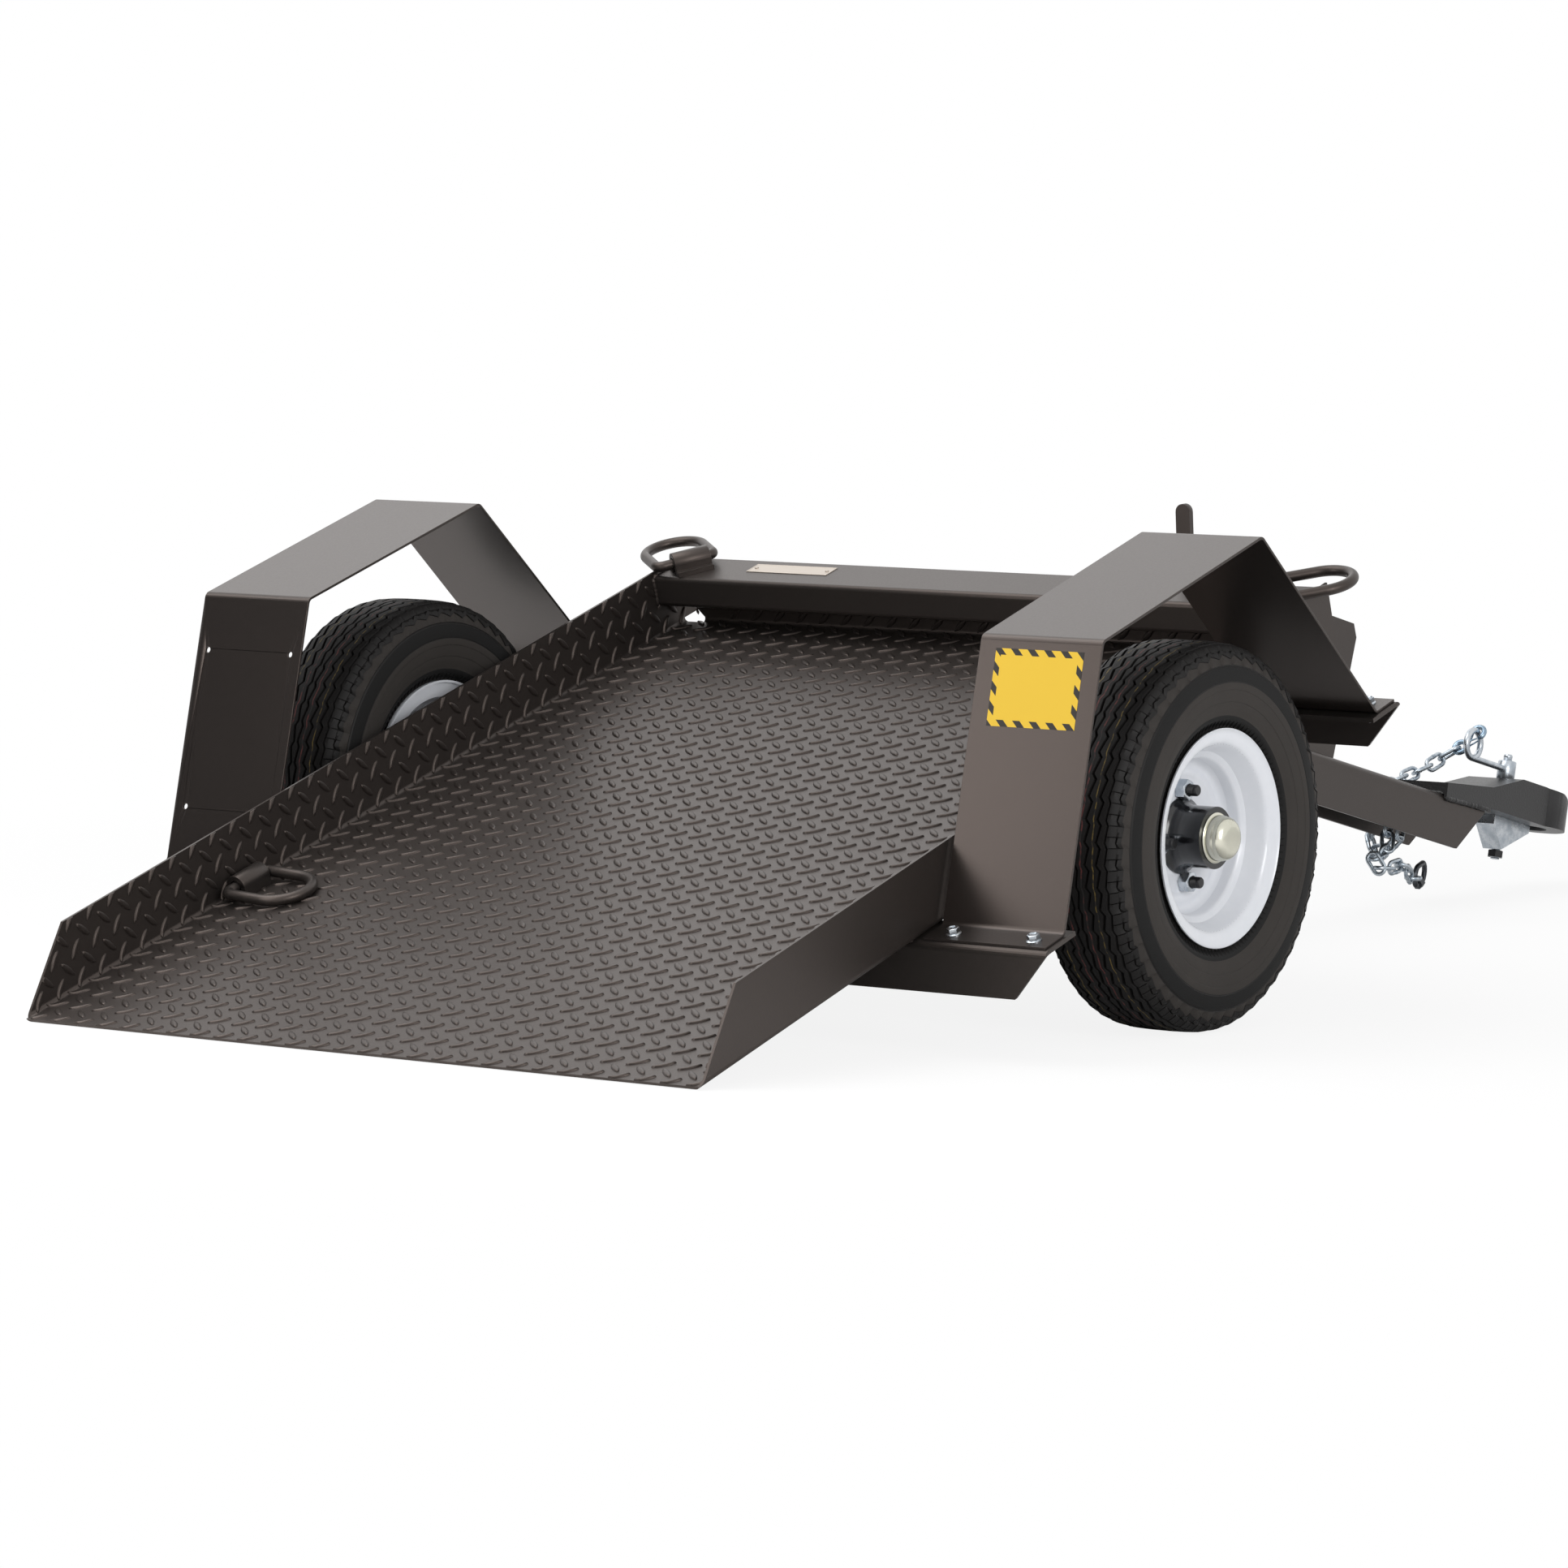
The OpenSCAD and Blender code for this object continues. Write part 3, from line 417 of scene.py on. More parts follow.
def sweep(bm, points, radius_at, sides=8, material=0, closed=False):
    """Round rod along points in metres, a loop if closed; radius_at gives the radius at each point."""
    rings = []
    side = None
    for i, point in enumerate(points):
        last = len(points) - 1
        ahead, behind = ((i + 1) % (last + 1), i - 1) if closed else (min(i + 1, last), max(i - 1, 0))
        way = (points[ahead] - points[behind]).normalized()
        if side is None:
            side = way.orthogonal().normalized()
        side = (side - way * side.dot(way)).normalized()
        other = way.cross(side)
        r = radius_at(i)
        rings.append([point + r * (side * math.cos(a) + other * math.sin(a))
                      for a in (2 * math.pi * k / sides for k in range(sides))])
    loft(bm, rings, "join" if closed else "cap", material)


def oval(length, gap, wire):
    """Middle line of a link whose opening is length by gap, along X and Z, in millimetres."""
    bow = (gap + wire) / 2
    half = (length + wire) / 2 - bow
    turns = [math.pi * k / 9 for k in range(10)]
    return ([Vector((half + bow * math.sin(a), 0, bow * math.cos(a))) for a in turns]
            + [Vector((-half - bow * math.sin(a), 0, -bow * math.cos(a))) for a in turns])


def laid(a, b, roll):
    """Frame half way from a to b, with X along them, rolled about X by degrees."""
    way = b - a
    turn = Matrix.Rotation(math.atan2(way.y, way.x), 4, "Z")
    dip = Matrix.Rotation(math.atan2(-way.z, math.hypot(way.x, way.y)), 4, "Y")
    return Matrix.Translation((a + b) / 2 * MM) @ turn @ dip @ Matrix.Rotation(math.radians(roll), 4, "X")


def wire(bm, place, points, radius, closed=False, material=0):
    """Round wire along points given in millimetres, set in place."""
    sweep(bm, [place @ (p * MM) for p in points], lambda i: radius * MM, 12, material, closed)


def walk(corners, step):
    """Points every step along a line through corners."""
    points = []
    for a, b in zip(corners, corners[1:]):
        count = max(1, round((b - a).length / step))
        points += [a.lerp(b, k / count) for k in range(count)]
    return points + [corners[-1]]


BEAD_STEP = 1.5


def bead(bm, place, line, side, width):
    """Weld bead, rippled every 3 mm, half sunk along a line in millimetres on the side of one sign."""
    draw = random.Random(len(bm.verts))
    points = [place @ (p * MM) for p in walk([Vector((x, side * y, z)) for x, y, z in line], BEAD_STEP)]
    wander = [draw.uniform(-0.12, 0.12) for _ in points]

    def radius(i):
        ripple = 0.1 if i % 2 else -0.06
        end = min(1, 0.35 + 0.3 * min(i, len(points) - 1 - i))
        return width / 2 * MM * end * (1 + ripple + wander[i])

    sweep(bm, points, radius)


def piece(name, bm, finishes, body, crease=35):
    """Object from a bmesh, smooth but for edges over crease degrees, riding on a body."""
    bmesh.ops.recalc_face_normals(bm, faces=bm.faces)
    for face in bm.faces:
        face.smooth = True
    for edge in bm.edges:
        edge.smooth = len(edge.link_faces) != 2 or edge.calc_face_angle() < math.radians(crease)
    mesh = bpy.data.meshes.new(name)
    bm.to_mesh(mesh)
    bm.free()
    for finish in finishes:
        mesh.materials.append(finish)
    obj = bpy.data.objects.new(name, mesh)
    bpy.context.scene.collection.objects.link(obj)
    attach(obj, body)
    return obj


# Finish to material name, filled by the first operator
FINISH_NAMES = {}


def finish(name):
    """A finish by its name."""
    return bpy.data.materials[FINISH_NAMES[name]]


# Settings that a user may change

class TreadSettings(bpy.types.PropertyGroup):
    """Raised pattern of the tread plate."""

    lug_length: FloatProperty(
        name="Lug length", description="Length of one raised lug", default=27 * MM, unit="LENGTH")
    lug_width: FloatProperty(
        name="Lug width", description="Width of a lug at its foot", default=8 * MM, unit="LENGTH")
    lug_height: FloatProperty(
        name="Lug height", description="Height of a lug above the sheet", default=2 * MM, unit="LENGTH")
    pitch_along: FloatProperty(
        name="Pitch along", description="Distance between like lugs along the deck", default=36 * MM,
        unit="LENGTH")
    pitch_across: FloatProperty(
        name="Pitch across", description="Distance between like lugs across it", default=33 * MM,
        unit="LENGTH")
    slant: FloatProperty(
        name="Slant", description="Angle of the lugs to the deck's length", default=math.radians(50),
        subtype="ANGLE")


class TyreSettings(bpy.types.PropertyGroup):
    """Tread of the tyres."""

    radius: FloatProperty(
        name="Radius", description="Outer radius of the tyre", default=213 * MM, unit="LENGTH")
    zigzags: IntProperty(
        name="Zigzags", description="Zigzags of a groove round the tyre", default=54, min=24, max=90)
    swing: FloatProperty(
        name="Swing", description="Side swing of a zigzag groove", default=5 * MM, unit="LENGTH")
    groove: FloatProperty(
        name="Groove depth", description="Depth of the tread grooves", default=6 * MM, unit="LENGTH")


class LabelSettings(bpy.types.PropertyGroup):
    """Plain label on the right fender and bare plate on the cross tube."""

    label_width: FloatProperty(
        name="Label width", description="Width of the yellow label", default=111.5 * MM, unit="LENGTH")
    label_height: FloatProperty(
        name="Label height", description="Height of the yellow label", default=83.5 * MM, unit="LENGTH")
    label_colour: FloatVectorProperty(
        name="Label colour", description="Ground colour of the label", default=linear("#d6b02c"),
        size=4, subtype="COLOR")
    plate_length: FloatProperty(
        name="Plate length", description="Length of the bare aluminium plate", default=118 * MM,
        unit="LENGTH")
    plate_width: FloatProperty(
        name="Plate width", description="Width of the bare aluminium plate", default=25.5 * MM,
        unit="LENGTH")


class StudioSettings(bpy.types.PropertyGroup):
    """Camera, light and floor."""

    camera_place: FloatVectorProperty(
        name="Camera place", description="Where the camera stands", default=(-6.9207, -4.6446, 0.8905),
        subtype="TRANSLATION", unit="LENGTH")
    camera_turn: FloatVectorProperty(
        name="Camera turn", description="How the camera is turned",
        default=[math.radians(a) for a in (85.2987, -0.6056, -54.1317)], subtype="EULER")
    lens: FloatProperty(
        name="Lens", description="Focal length on a 36 mm frame, in millimetres", default=161.25)
    ambient: FloatProperty(
        name="Ambient", description="Strength of the light from all round", default=0.5)
    key: FloatProperty(
        name="Key", description="Power of the large overhead light in watts", default=95)
    fill: FloatProperty(
        name="Fill", description="Power of the side light in watts", default=75)
    panel: FloatProperty(
        name="Panel", description="Power of the low panel for the near fender's leg, in watts", default=7)
    sky: FloatProperty(
        name="Sky", description="Power of the far panel that the fenders' tops reflect, in watts", default=12)
    shade_way: FloatVectorProperty(
        name="Shade", description="Direction of the dark side of the studio", default=(-0.8, 0.55, 0.22),
        subtype="DIRECTION")


SETTINGS = {
    "trailer_tread": TreadSettings,
    "trailer_tyre": TyreSettings,
    "trailer_label": LabelSettings,
    "trailer_studio": StudioSettings,
}


class TRAILER_OT_coat(bpy.types.Operator):
    """Gives every CAD part its finish and eases the edges of the steelwork"""

    bl_idname = "trailer.coat"
    bl_label = "Coat Steelwork"

    # Width in millimetres by which each sharp-edged node is eased
    eased = {
        0.4: ("cross_tube", "floor_rails"),
        0.5: ("tray", "fender_left", "fender_right"),
        0.6: ("axle_beam", "latch_striker"),
        0.7: ("hinge_ears", "latch_lugs", "tongue_channel", "latch_lever", "coupler_jaw"),
        0.8: ("rear_crossmember", "front_crossmember", "stop_post"),
        1: ("clip_rear_left", "clip_rear_right", "clip_front_left", "clip_front_right", "coupler_housing"),
    }

    def execute(self, context):
        for key, material in build_finishes().items():
            FINISH_NAMES[key] = material.name
        slots = {entry["node"]: entry["material_slot"] for entry in frame["record"]["subparts"]}
        for name, obj in frame["nodes"].items():
            for holder in obj.material_slots:
                holder.material = finish(slots[name])
        for width, names in self.eased.items():
            for name in names:
                self.ease(frame["nodes"][name], width * MM)
        return {"FINISHED"}

    def ease(self, obj, width):
        """Rounds the sharp edges of a plate."""
        weld = obj.modifiers.new("join", "WELD")
        weld.merge_threshold = 0.01 * MM
        bevel = obj.modifiers.new("ease", "BEVEL")
        bevel.width = width
        bevel.segments = 2
        bevel.limit_method = "ANGLE"
        bevel.angle_limit = math.radians(40)
        bevel.harden_normals = True


class TRAILER_OT_raise_tread(bpy.types.Operator):
    """Raises the tread pattern on the tray's floor, folds and walls"""

    bl_idname = "trailer.raise_tread"
    bl_label = "Raise Tread Pattern"

    # One lug centre of the measured pattern, from the rear edge and the middle line, in millimetres
    anchor = (131.6, 428.4)
    # Outline of a lug as shares of its half length and half width
    outline = (
        (-1, 0), (-0.7, 0.62), (-0.25, 1), (0.25, 1), (0.7, 0.62), (1, 0), (0.7, -0.62), (0.25, -1),
        (-0.25, -1), (-0.7, -0.62),
    )
    # Height share, length share and width share of the rings of a lug, from its foot up
    rings = ((-0.3, 1, 1), (0.7, 0.94, 0.78), (1, 0.85, 0.42))
    # The floor runs on under the tube between the corner notches
    notch_from = 405
    under_tube = 31
    edge_margin = 0.4

    def execute(self, context):
        sizes = context.scene.trailer_tread
        flat = TRAY_HALF - SHEET - FOLD_IN
        arc = FOLD_IN * math.pi / 2
        top = flat + arc + WALL_H - SHEET - FOLD_IN
        front = TRAY_L - SHEET - FOLD_IN
        tube_foot = front + arc + self.under_tube
        # Strips of the flat sheet: least and greatest distance from the middle, and front end
        strips = (
            (0, self.notch_from, tube_foot), (self.notch_from, flat + arc, front),
            (flat + arc, top + 20, TRAY_L + WALL_PAST),
        )
        whole = bmesh.new()
        for low, high, end in strips:
            bm = bmesh.new()
            self.fill_strip(bm, sizes, low, high, end)
            self.cut(bm, (self.edge_margin, 0), (-1, 0))
            self.cut(bm, (end - self.edge_margin, 0), (1, 0))
            if low == 0:
                for k in range(4):
                    self.cut(bm, (front + arc * k / 3, 0), (1, 0), clear=False)
            for side in (1, -1):
                if low > 0:
                    self.cut(bm, (0, side * (top - self.edge_margin)), (0, side))
                    rise = top - flat - arc
                    run = WALL_RAKE * (1 - (SHEET + FOLD_IN) / WALL_H)
                    foot = WALL_RAKE * (SHEET + FOLD_IN) / WALL_H
                    self.cut(bm, (foot + 0.5, side * (flat + arc)), (-rise, side * run))
                    for k in range(4):
                        self.cut(bm, (0, side * (flat + arc * k / 3)), (0, 1), clear=False)
            self.fold(bm, flat, arc, front)
            part = bpy.data.meshes.new("strip")
            bm.to_mesh(part)
            bm.free()
            whole.from_mesh(part)
            bpy.data.meshes.remove(part)
        piece("tread_lugs", whole, [finish("tread_plate")], "deck", crease=80)
        return {"FINISHED"}

    def fill_strip(self, bm, sizes, low, high, end):
        """Lugs of both slants whose centres lie in one strip of the flat sheet."""
        across, along = sizes.pitch_across / MM, sizes.pitch_along / MM
        for slant, shift in ((1, 0), (-1, 0.5)):
            for i in range(-4, 34):
                u = self.anchor[0] + (i + shift) * along
                if not -10 < u < end + 10:
                    continue
                for k in range(-4, 31):
                    v = self.anchor[1] - (k - shift) * across
                    if low <= abs(v) < high:
                        self.lug(bm, sizes, u, v, slant * sizes.slant)

    def lug(self, bm, sizes, u, v, angle):
        """One closed lug on the flat sheet, in millimetres."""
        half_l, half_w = sizes.lug_length / MM / 2, sizes.lug_width / MM / 2
        c, s = math.cos(angle), math.sin(angle)
        rings = []
        for height, long, wide in self.rings:
            points = [(x * half_l * long, y * half_w * wide) for x, y in self.outline]
            z = height * sizes.lug_height / MM
            rings.append([(u + x * c - y * s, v + x * s + y * c, z) for x, y in points])
        loft(bm, rings)

    def cut(self, bm, through, outward, clear=True):
        """Cuts the flat lugs along a line, drops what lies outward of it and closes the cut faces."""
        made = bmesh.ops.bisect_plane(
            bm, geom=bm.verts[:] + bm.edges[:] + bm.faces[:], plane_co=(*through, 0),
            plane_no=(*outward, 0), clear_outer=clear, dist=0.001)
        if clear:
            edges = [e for e in made["geom_cut"] if isinstance(e, bmesh.types.BMEdge) and e.is_boundary]
            bmesh.ops.holes_fill(bm, edges=edges)

    def fold(self, bm, flat, arc, front):
        """Bends the flat lugs up the side walls and the front wall, and sets them on the deck."""
        for vert in bm.verts:
            u, v, h = vert.co
            side = 1 if v > 0 else -1
            x, y, z = u, abs(v), SHEET + h
            if abs(v) > flat:
                y, z = self.bend(abs(v) - flat, h, arc, flat)
            elif u > front:
                x, z = self.bend(u - front, h, arc, front)
            vert.co = deck @ (Vector((x, side * y, z)) * MM)

    def bend(self, past, h, arc, centre):
        """Place of a point that lies past the start of a fold, as distance out and height."""
        angle = min(past, arc) / FOLD_IN
        out = centre + (FOLD_IN - h) * math.sin(angle)
        height = SHEET + FOLD_IN - (FOLD_IN - h) * math.cos(angle)
        return out, height + max(0, past - arc)


class TRAILER_OT_mould_tyres(bpy.types.Operator):
    """Moulds both tyres with zigzag grooves, shoulder notches and plain side rings"""

    bl_idname = "trailer.mould_tyres"
    bl_label = "Mould Tyres"

    # Shares of one zigzag at which the tyre has a section, each with its share of the side swing and
    # whether the shoulder is notched from there to the next
    stations = ((0, 0, False), (0.25, 0.33, True), (0.3, 0.4, False), (0.5, 0.67, False), (0.75, 1, True),
                (0.8, 0.8, False))
    # Half section from the middle of the tread to the bead: distance out, drop below the tread's radius,
    # share of the swing, and the finish from there on
    section = (
        (2.4, 0, 0.6, "tyre"), (3.2, -1, 0.6, "tyre"), (5, -1, 0.6, "tyre"), (5.8, 0, 0.6, "tyre"),
        (9.8, 0, 0.4, "line_red"), (11.6, 0, 0.4, "tyre"), (15.8, 0.1, 1, "tyre"),
        (16.6, -1, 1, "tyre"), (18.6, -1, 1, "tyre"), (19.4, 0.2, 1, "tyre"),
        (24.9, 0.4, 0.3, "line_yellow"), (26.3, 0.4, 0.3, "tyre"), (29.6, 0.7, 1, "tyre"),
        (30.4, -1, 1, "tyre"), (32.6, -1, 1, "tyre"), (33.4, 1, 1, "tyre"), (39, 2, 0.6, "tyre"),
        (39.8, -1, 0.6, "tyre"), (41.2, -1, 0.6, "tyre"), (42, 2.8, 0.6, "tyre"), (45, 4, 0.3, "tyre"),
        (48.4, 7.6, 0.5, "tyre"), (49.6, 9.2, 0.5, "tyre"), (49.2, 10.8, 0.5, "tyre"),
        (51.2, 11.4, 0.3, "tyre"), (53.6, 15.4, 0, "tyre"), (52.6, 16.2, 0, "tyre_matt"),
        (55.4, 21.5, 0, "tyre_matt"), (56.8, 24.4, 0, "tyre"), (56.6, 25.6, 0, "tyre"),
        (58.1, 27, 0, "tyre_smooth"), (60.2, 35, 0, "tyre_smooth"), (60.9, 42, 0, "tyre"),
        (60.5, 42.8, 0, "tyre"), (60.8, 43.6, 0, "tyre_matt"), (60.5, 51, 0, "tyre_matt"),
        (60, 51.7, 0, "tyre_matt"), (60.1, 52.6, 0, "tyre_matt"), (58.8, 64, 0, "tyre_matt"),
        (58.1, 64.8, 0, "tyre_matt"), (58.2, 65.8, 0, "tyre_matt"), (56, 75, 0, "tyre_matt"),
        (54, 79.5, 0, "tyre_smooth"), (54.2, 81.6, 0, "tyre_smooth"), (53.2, 84, 0, "tyre_smooth"),
        (50.2, 87, 0, "tyre_smooth"), (47.5, 90, 0, "tyre"), (46.4, 97, 0, "tyre"),
        (46, 108.6, 0, "tyre"), (38, 108.6, 0, "tyre"), (43, 92, 0, "tyre"), (52, 64, 0, "tyre"),
        (51, 40, 0, "tyre"), (40, 20, 0, "tyre"), (20, 13, 0, "tyre"),
    )
    notched = (43, 52)
    notch_depth = 2.5
    # Drops between which the shoulder's step runs like saw teeth, and how far each tooth reaches
    sawn = (11, 22)
    tooth = 5
    # Drop of the tread's edge, which the grooves' floor follows
    crown = 0.4
    finishes = ("tyre", "tyre_smooth", "tyre_matt", "line_red", "line_yellow")

    def execute(self, context):
        sizes = context.scene.trailer_tyre
        for name in SIDES:
            bm = bmesh.new()
            self.mould(bm, sizes, wheels[name])
            finishes = [finish(f) for f in self.finishes]
            tyre = piece(f"tyre_{name}_moulded", bm, finishes, f"wheel_{name}", 30)
            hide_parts(f"tyre_{name}")
        return {"FINISHED"}

    def mould(self, bm, sizes, place):
        """Closed skin of one tyre from sections round the axle."""
        half = list(self.section)
        mirrored = [(-a, drop, -swing, f) for a, drop, swing, f in half]
        # A segment's finish belongs to its start, so the first half takes it from the point after
        back = half[::-1]
        after = back[1:] + back[-1:]
        loop = [(p[0], p[1], p[2], q[3]) for p, q in zip(back, after)] + mirrored
        rows = []
        for k in range(sizes.zigzags):
            for share, swing, notch in self.stations:
                rows.append(self.ring(place, loop, sizes, (k + share) / sizes.zigzags, swing, 0))
                if notch:
                    rows.append(self.ring(place, loop, sizes, (k + share + 0.001) / sizes.zigzags, swing, 1))
        rings = [[bm.verts.new(p) for p in row] for row in rows]
        index = {f: i for i, f in enumerate(self.finishes)}
        for a, b in zip(rings, rings[1:] + rings[:1]):
            for i in range(len(loop)):
                j = (i + 1) % len(loop)
                bm.faces.new((a[i], a[j], b[j], b[i])).material_index = index[loop[i][3]]

    def ring(self, place, loop, sizes, turn, swing, notch):
        """Points of one section of the tyre at a share of a full turn."""
        angle = 2 * math.pi * turn
        points = []
        for across, drop, gain, _ in loop:
            out = across + gain * sizes.swing / MM * (swing - 0.5)
            depth = sizes.groove / MM + self.crown if drop < 0 else drop
            if notch and self.notched[0] < abs(across) < self.notched[1]:
                depth += self.notch_depth
            if self.sawn[0] < drop < self.sawn[1]:
                depth += self.tooth * (swing - 0.5)
            r = sizes.radius / MM - depth
            points.append(place @ (Vector((r * math.cos(angle), r * math.sin(angle), out)) * MM))
        return points


class TRAILER_OT_press_rims(bpy.types.Operator):
    """Presses both rims with their dish, and fits the hubs' collars and dust caps"""

    bl_idname = "trailer.press_rims"
    bl_label = "Press Rims"

    # Radius and height over the disc's middle, in millimetres: the dish that shows, outward to the lip
    dish = (
        (34.5, 1.3), (40, 1.3), (60, 1.3), (63, 1.6), (65.5, 2.6), (68, 3.5), (70.5, 3.7), (73, 3.2),
        (75.5, 2.2), (78, 1.9), (80.5, 2.6), (83, 4.8), (85.4, 8.6), (87.6, 13.6), (90, 19),
        (92.8, 24.6), (95.6, 30), (98, 35.2), (99.8, 40), (101.2, 44), (103, 47), (105.6, 48.8),
        (109, 49.8), (113, 50.5), (116, 51.4), (118.2, 52.8), (119.2, 54),
    )
    # The same skin from the lip back to the hub hole
    back = (
        (119.9, 53.6), (119.8, 51.6), (118, 49.8), (113, 48.4), (107, 47.4), (104.4, 45.6), (103.2, 40),
        (102, 32), (98, 28), (88, 23.5), (85.4, 20), (85.4, -20), (88, -23.5), (100.6, -28.4),
        (103.3, -34), (103.4, -46.7), (118.6, -46.7), (120, -48), (120, -53), (117.5, -53),
        (116.8, -49.4), (100.8, -49.4), (100.4, -34), (98.6, -30.4), (86, -25.6), (82.7, -21),
        (82.7, -5), (79.4, -1.7), (34.5, -1.7),
    )
    collar = (
        (33.9, 1.4), (42, 1.4), (42, 3.4), (40.6, 4.6), (37.4, 6.2), (35.4, 9.4), (34.4, 14),
        (33.9, 19),
    )
    cap = (
        (24.6, 44), (27.4, 46.1), (27.9, 46.8), (27.4, 47.5), (25.1, 47.9), (24.9, 55), (24.3, 55.8),
        (24.2, 57), (23.8, 59.6), (22.8, 62.2), (21, 64.6), (18.6, 66.4), (15.8, 67.5), (12.6, 67.9),
        (0.5, 68),
    )

    def execute(self, context):
        for name in SIDES:
            body = f"wheel_{name}"
            bm = bmesh.new()
            turned(bm, wheels[name], self.dish + self.back, 120, "join")
            rim = piece(f"rim_{name}_pressed", bm, [finish("rim_enamel")], body, 50)
            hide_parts(f"rim_{name}")
            bm = bmesh.new()
            turned(bm, wheels[name], self.collar, 72, "join")
            piece(f"hub_{name}_collar", bm, [finish("hub_black")], body, 50)
            bm = bmesh.new()
            turned(bm, wheels[name], self.cap, 72)
            cap = piece(f"dust_cap_{name}_drawn", bm, [finish("cap_zinc")], body, 50)
            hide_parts(f"dust_cap_{name}")
        return {"FINISHED"}


class TRAILER_OT_fit_wheel_nuts(bpy.types.Operator):
    """Fits the chamfered zinc nuts on the black studs of both wheels"""

    bl_idname = "trailer.fit_wheel_nuts"
    bl_label = "Fit Wheel Nuts"

    circle_r = 50.8
    first_turn = 12.7
    stud_r = 6.35
    disc_face = 1.3
    nut_across = 20.6
    nut_high = 13
    nut_face_r = 9.2
    stud_end = 25.5
    stud_pitch = 1.27
    # Washer: radius and height over the disc's face
    washer = ((6.4, -3), (9, -0.2), (9.4, 1.6), (6.4, 1.6))

    def execute(self, context):
        for name in SIDES:
            bm = bmesh.new()
            for k in range(4):
                angle = math.radians(-90 + self.first_turn + 90 * k)
                centre = Vector((self.circle_r * math.cos(angle), self.circle_r * math.sin(angle), 0)) * MM
                spot = wheels[name] @ Matrix.Translation(centre) @ Matrix.Rotation(0.35 * k + 0.2, 4, "Z")
                face = self.disc_face
                turned(bm, spot, [(r, face + z) for r, z in self.washer], 32, "join")
                hex_solid(bm, spot, self.nut_across, face + 1.2, face + self.nut_high, self.nut_face_r,
                          self.stud_r + 0.05)
                threaded_rod(bm, spot, self.stud_r, face - 3, self.stud_end, self.stud_pitch, 1)
            finishes = [finish("zinc"), finish("stud_black")]
            nuts = piece(f"wheel_nuts_{name}", bm, finishes, f"wheel_{name}")
            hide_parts(f"lug_nuts_{name}")
        return {"FINISHED"}


class TRAILER_OT_bolt_fenders(bpy.types.Operator):
    """Bolts the fenders' feet to the crossmembers with zinc flange bolts and nuts"""

    bl_idname = "trailer.bolt_fenders"
    bl_label = "Bolt Fenders"

    # How far each bolt stands in from the fender's ends and from its edges
    from_rear = 15.5
    from_front = 18
    from_inner = 29.3
    from_outer = 23.2
    across = 12.7
    head_high = 7.5
    nut_high = 8
    thread_r = 3.95
    # Flange: radius and height over the plate, from its inner edge on top to the one below
    flange = ((6.4, 2.2), (8.6, 1), (8.6, 0.02))

    def execute(self, context):
        for name, side in SIDES.items():
            bm = bmesh.new()
            for x in (FENDER_REAR + self.from_rear, FENDER_FRONT - self.from_front):
                for y in (FENDER_IN + self.from_inner, FENDER_OUT - self.from_outer):
                    place = Matrix.Translation(Vector((x, side * y, 0)) * MM)
                    self.bolt(bm, deck @ place @ Matrix.Rotation(x + y, 4, "Z"))
            piece(f"fender_bolts_{name}", bm, [finish("zinc")], "deck")
        return {"FINISHED"}

    def bolt(self, bm, spot):
        """Flange bolt down through the fender and the crossmember, with a flange nut below."""
        self.seat(bm, spot, SHEET, 3)
        hex_solid(bm, spot, self.across, SHEET + 1.2, SHEET + self.head_high, 5.7, dish=0.9)
        below = spot @ Matrix.Scale(-1, 4, (0, 0, 1))
        self.seat(bm, below, MEMBER_T, 4)
        hex_solid(bm, below, self.across, MEMBER_T + 1.2, MEMBER_T + self.nut_high, 5.9, self.thread_r)
        threaded_rod(bm, below, self.thread_r, MEMBER_T - 2, MEMBER_T + 14, 1.25)

    def seat(self, bm, spot, face, bore):
        """Flange of a bolt head or nut on a face."""
        turned(bm, spot, [(bore, face + 1.4), *((r, face + z) for r, z in self.flange), (bore, face + 0.02)],
               36, "join")


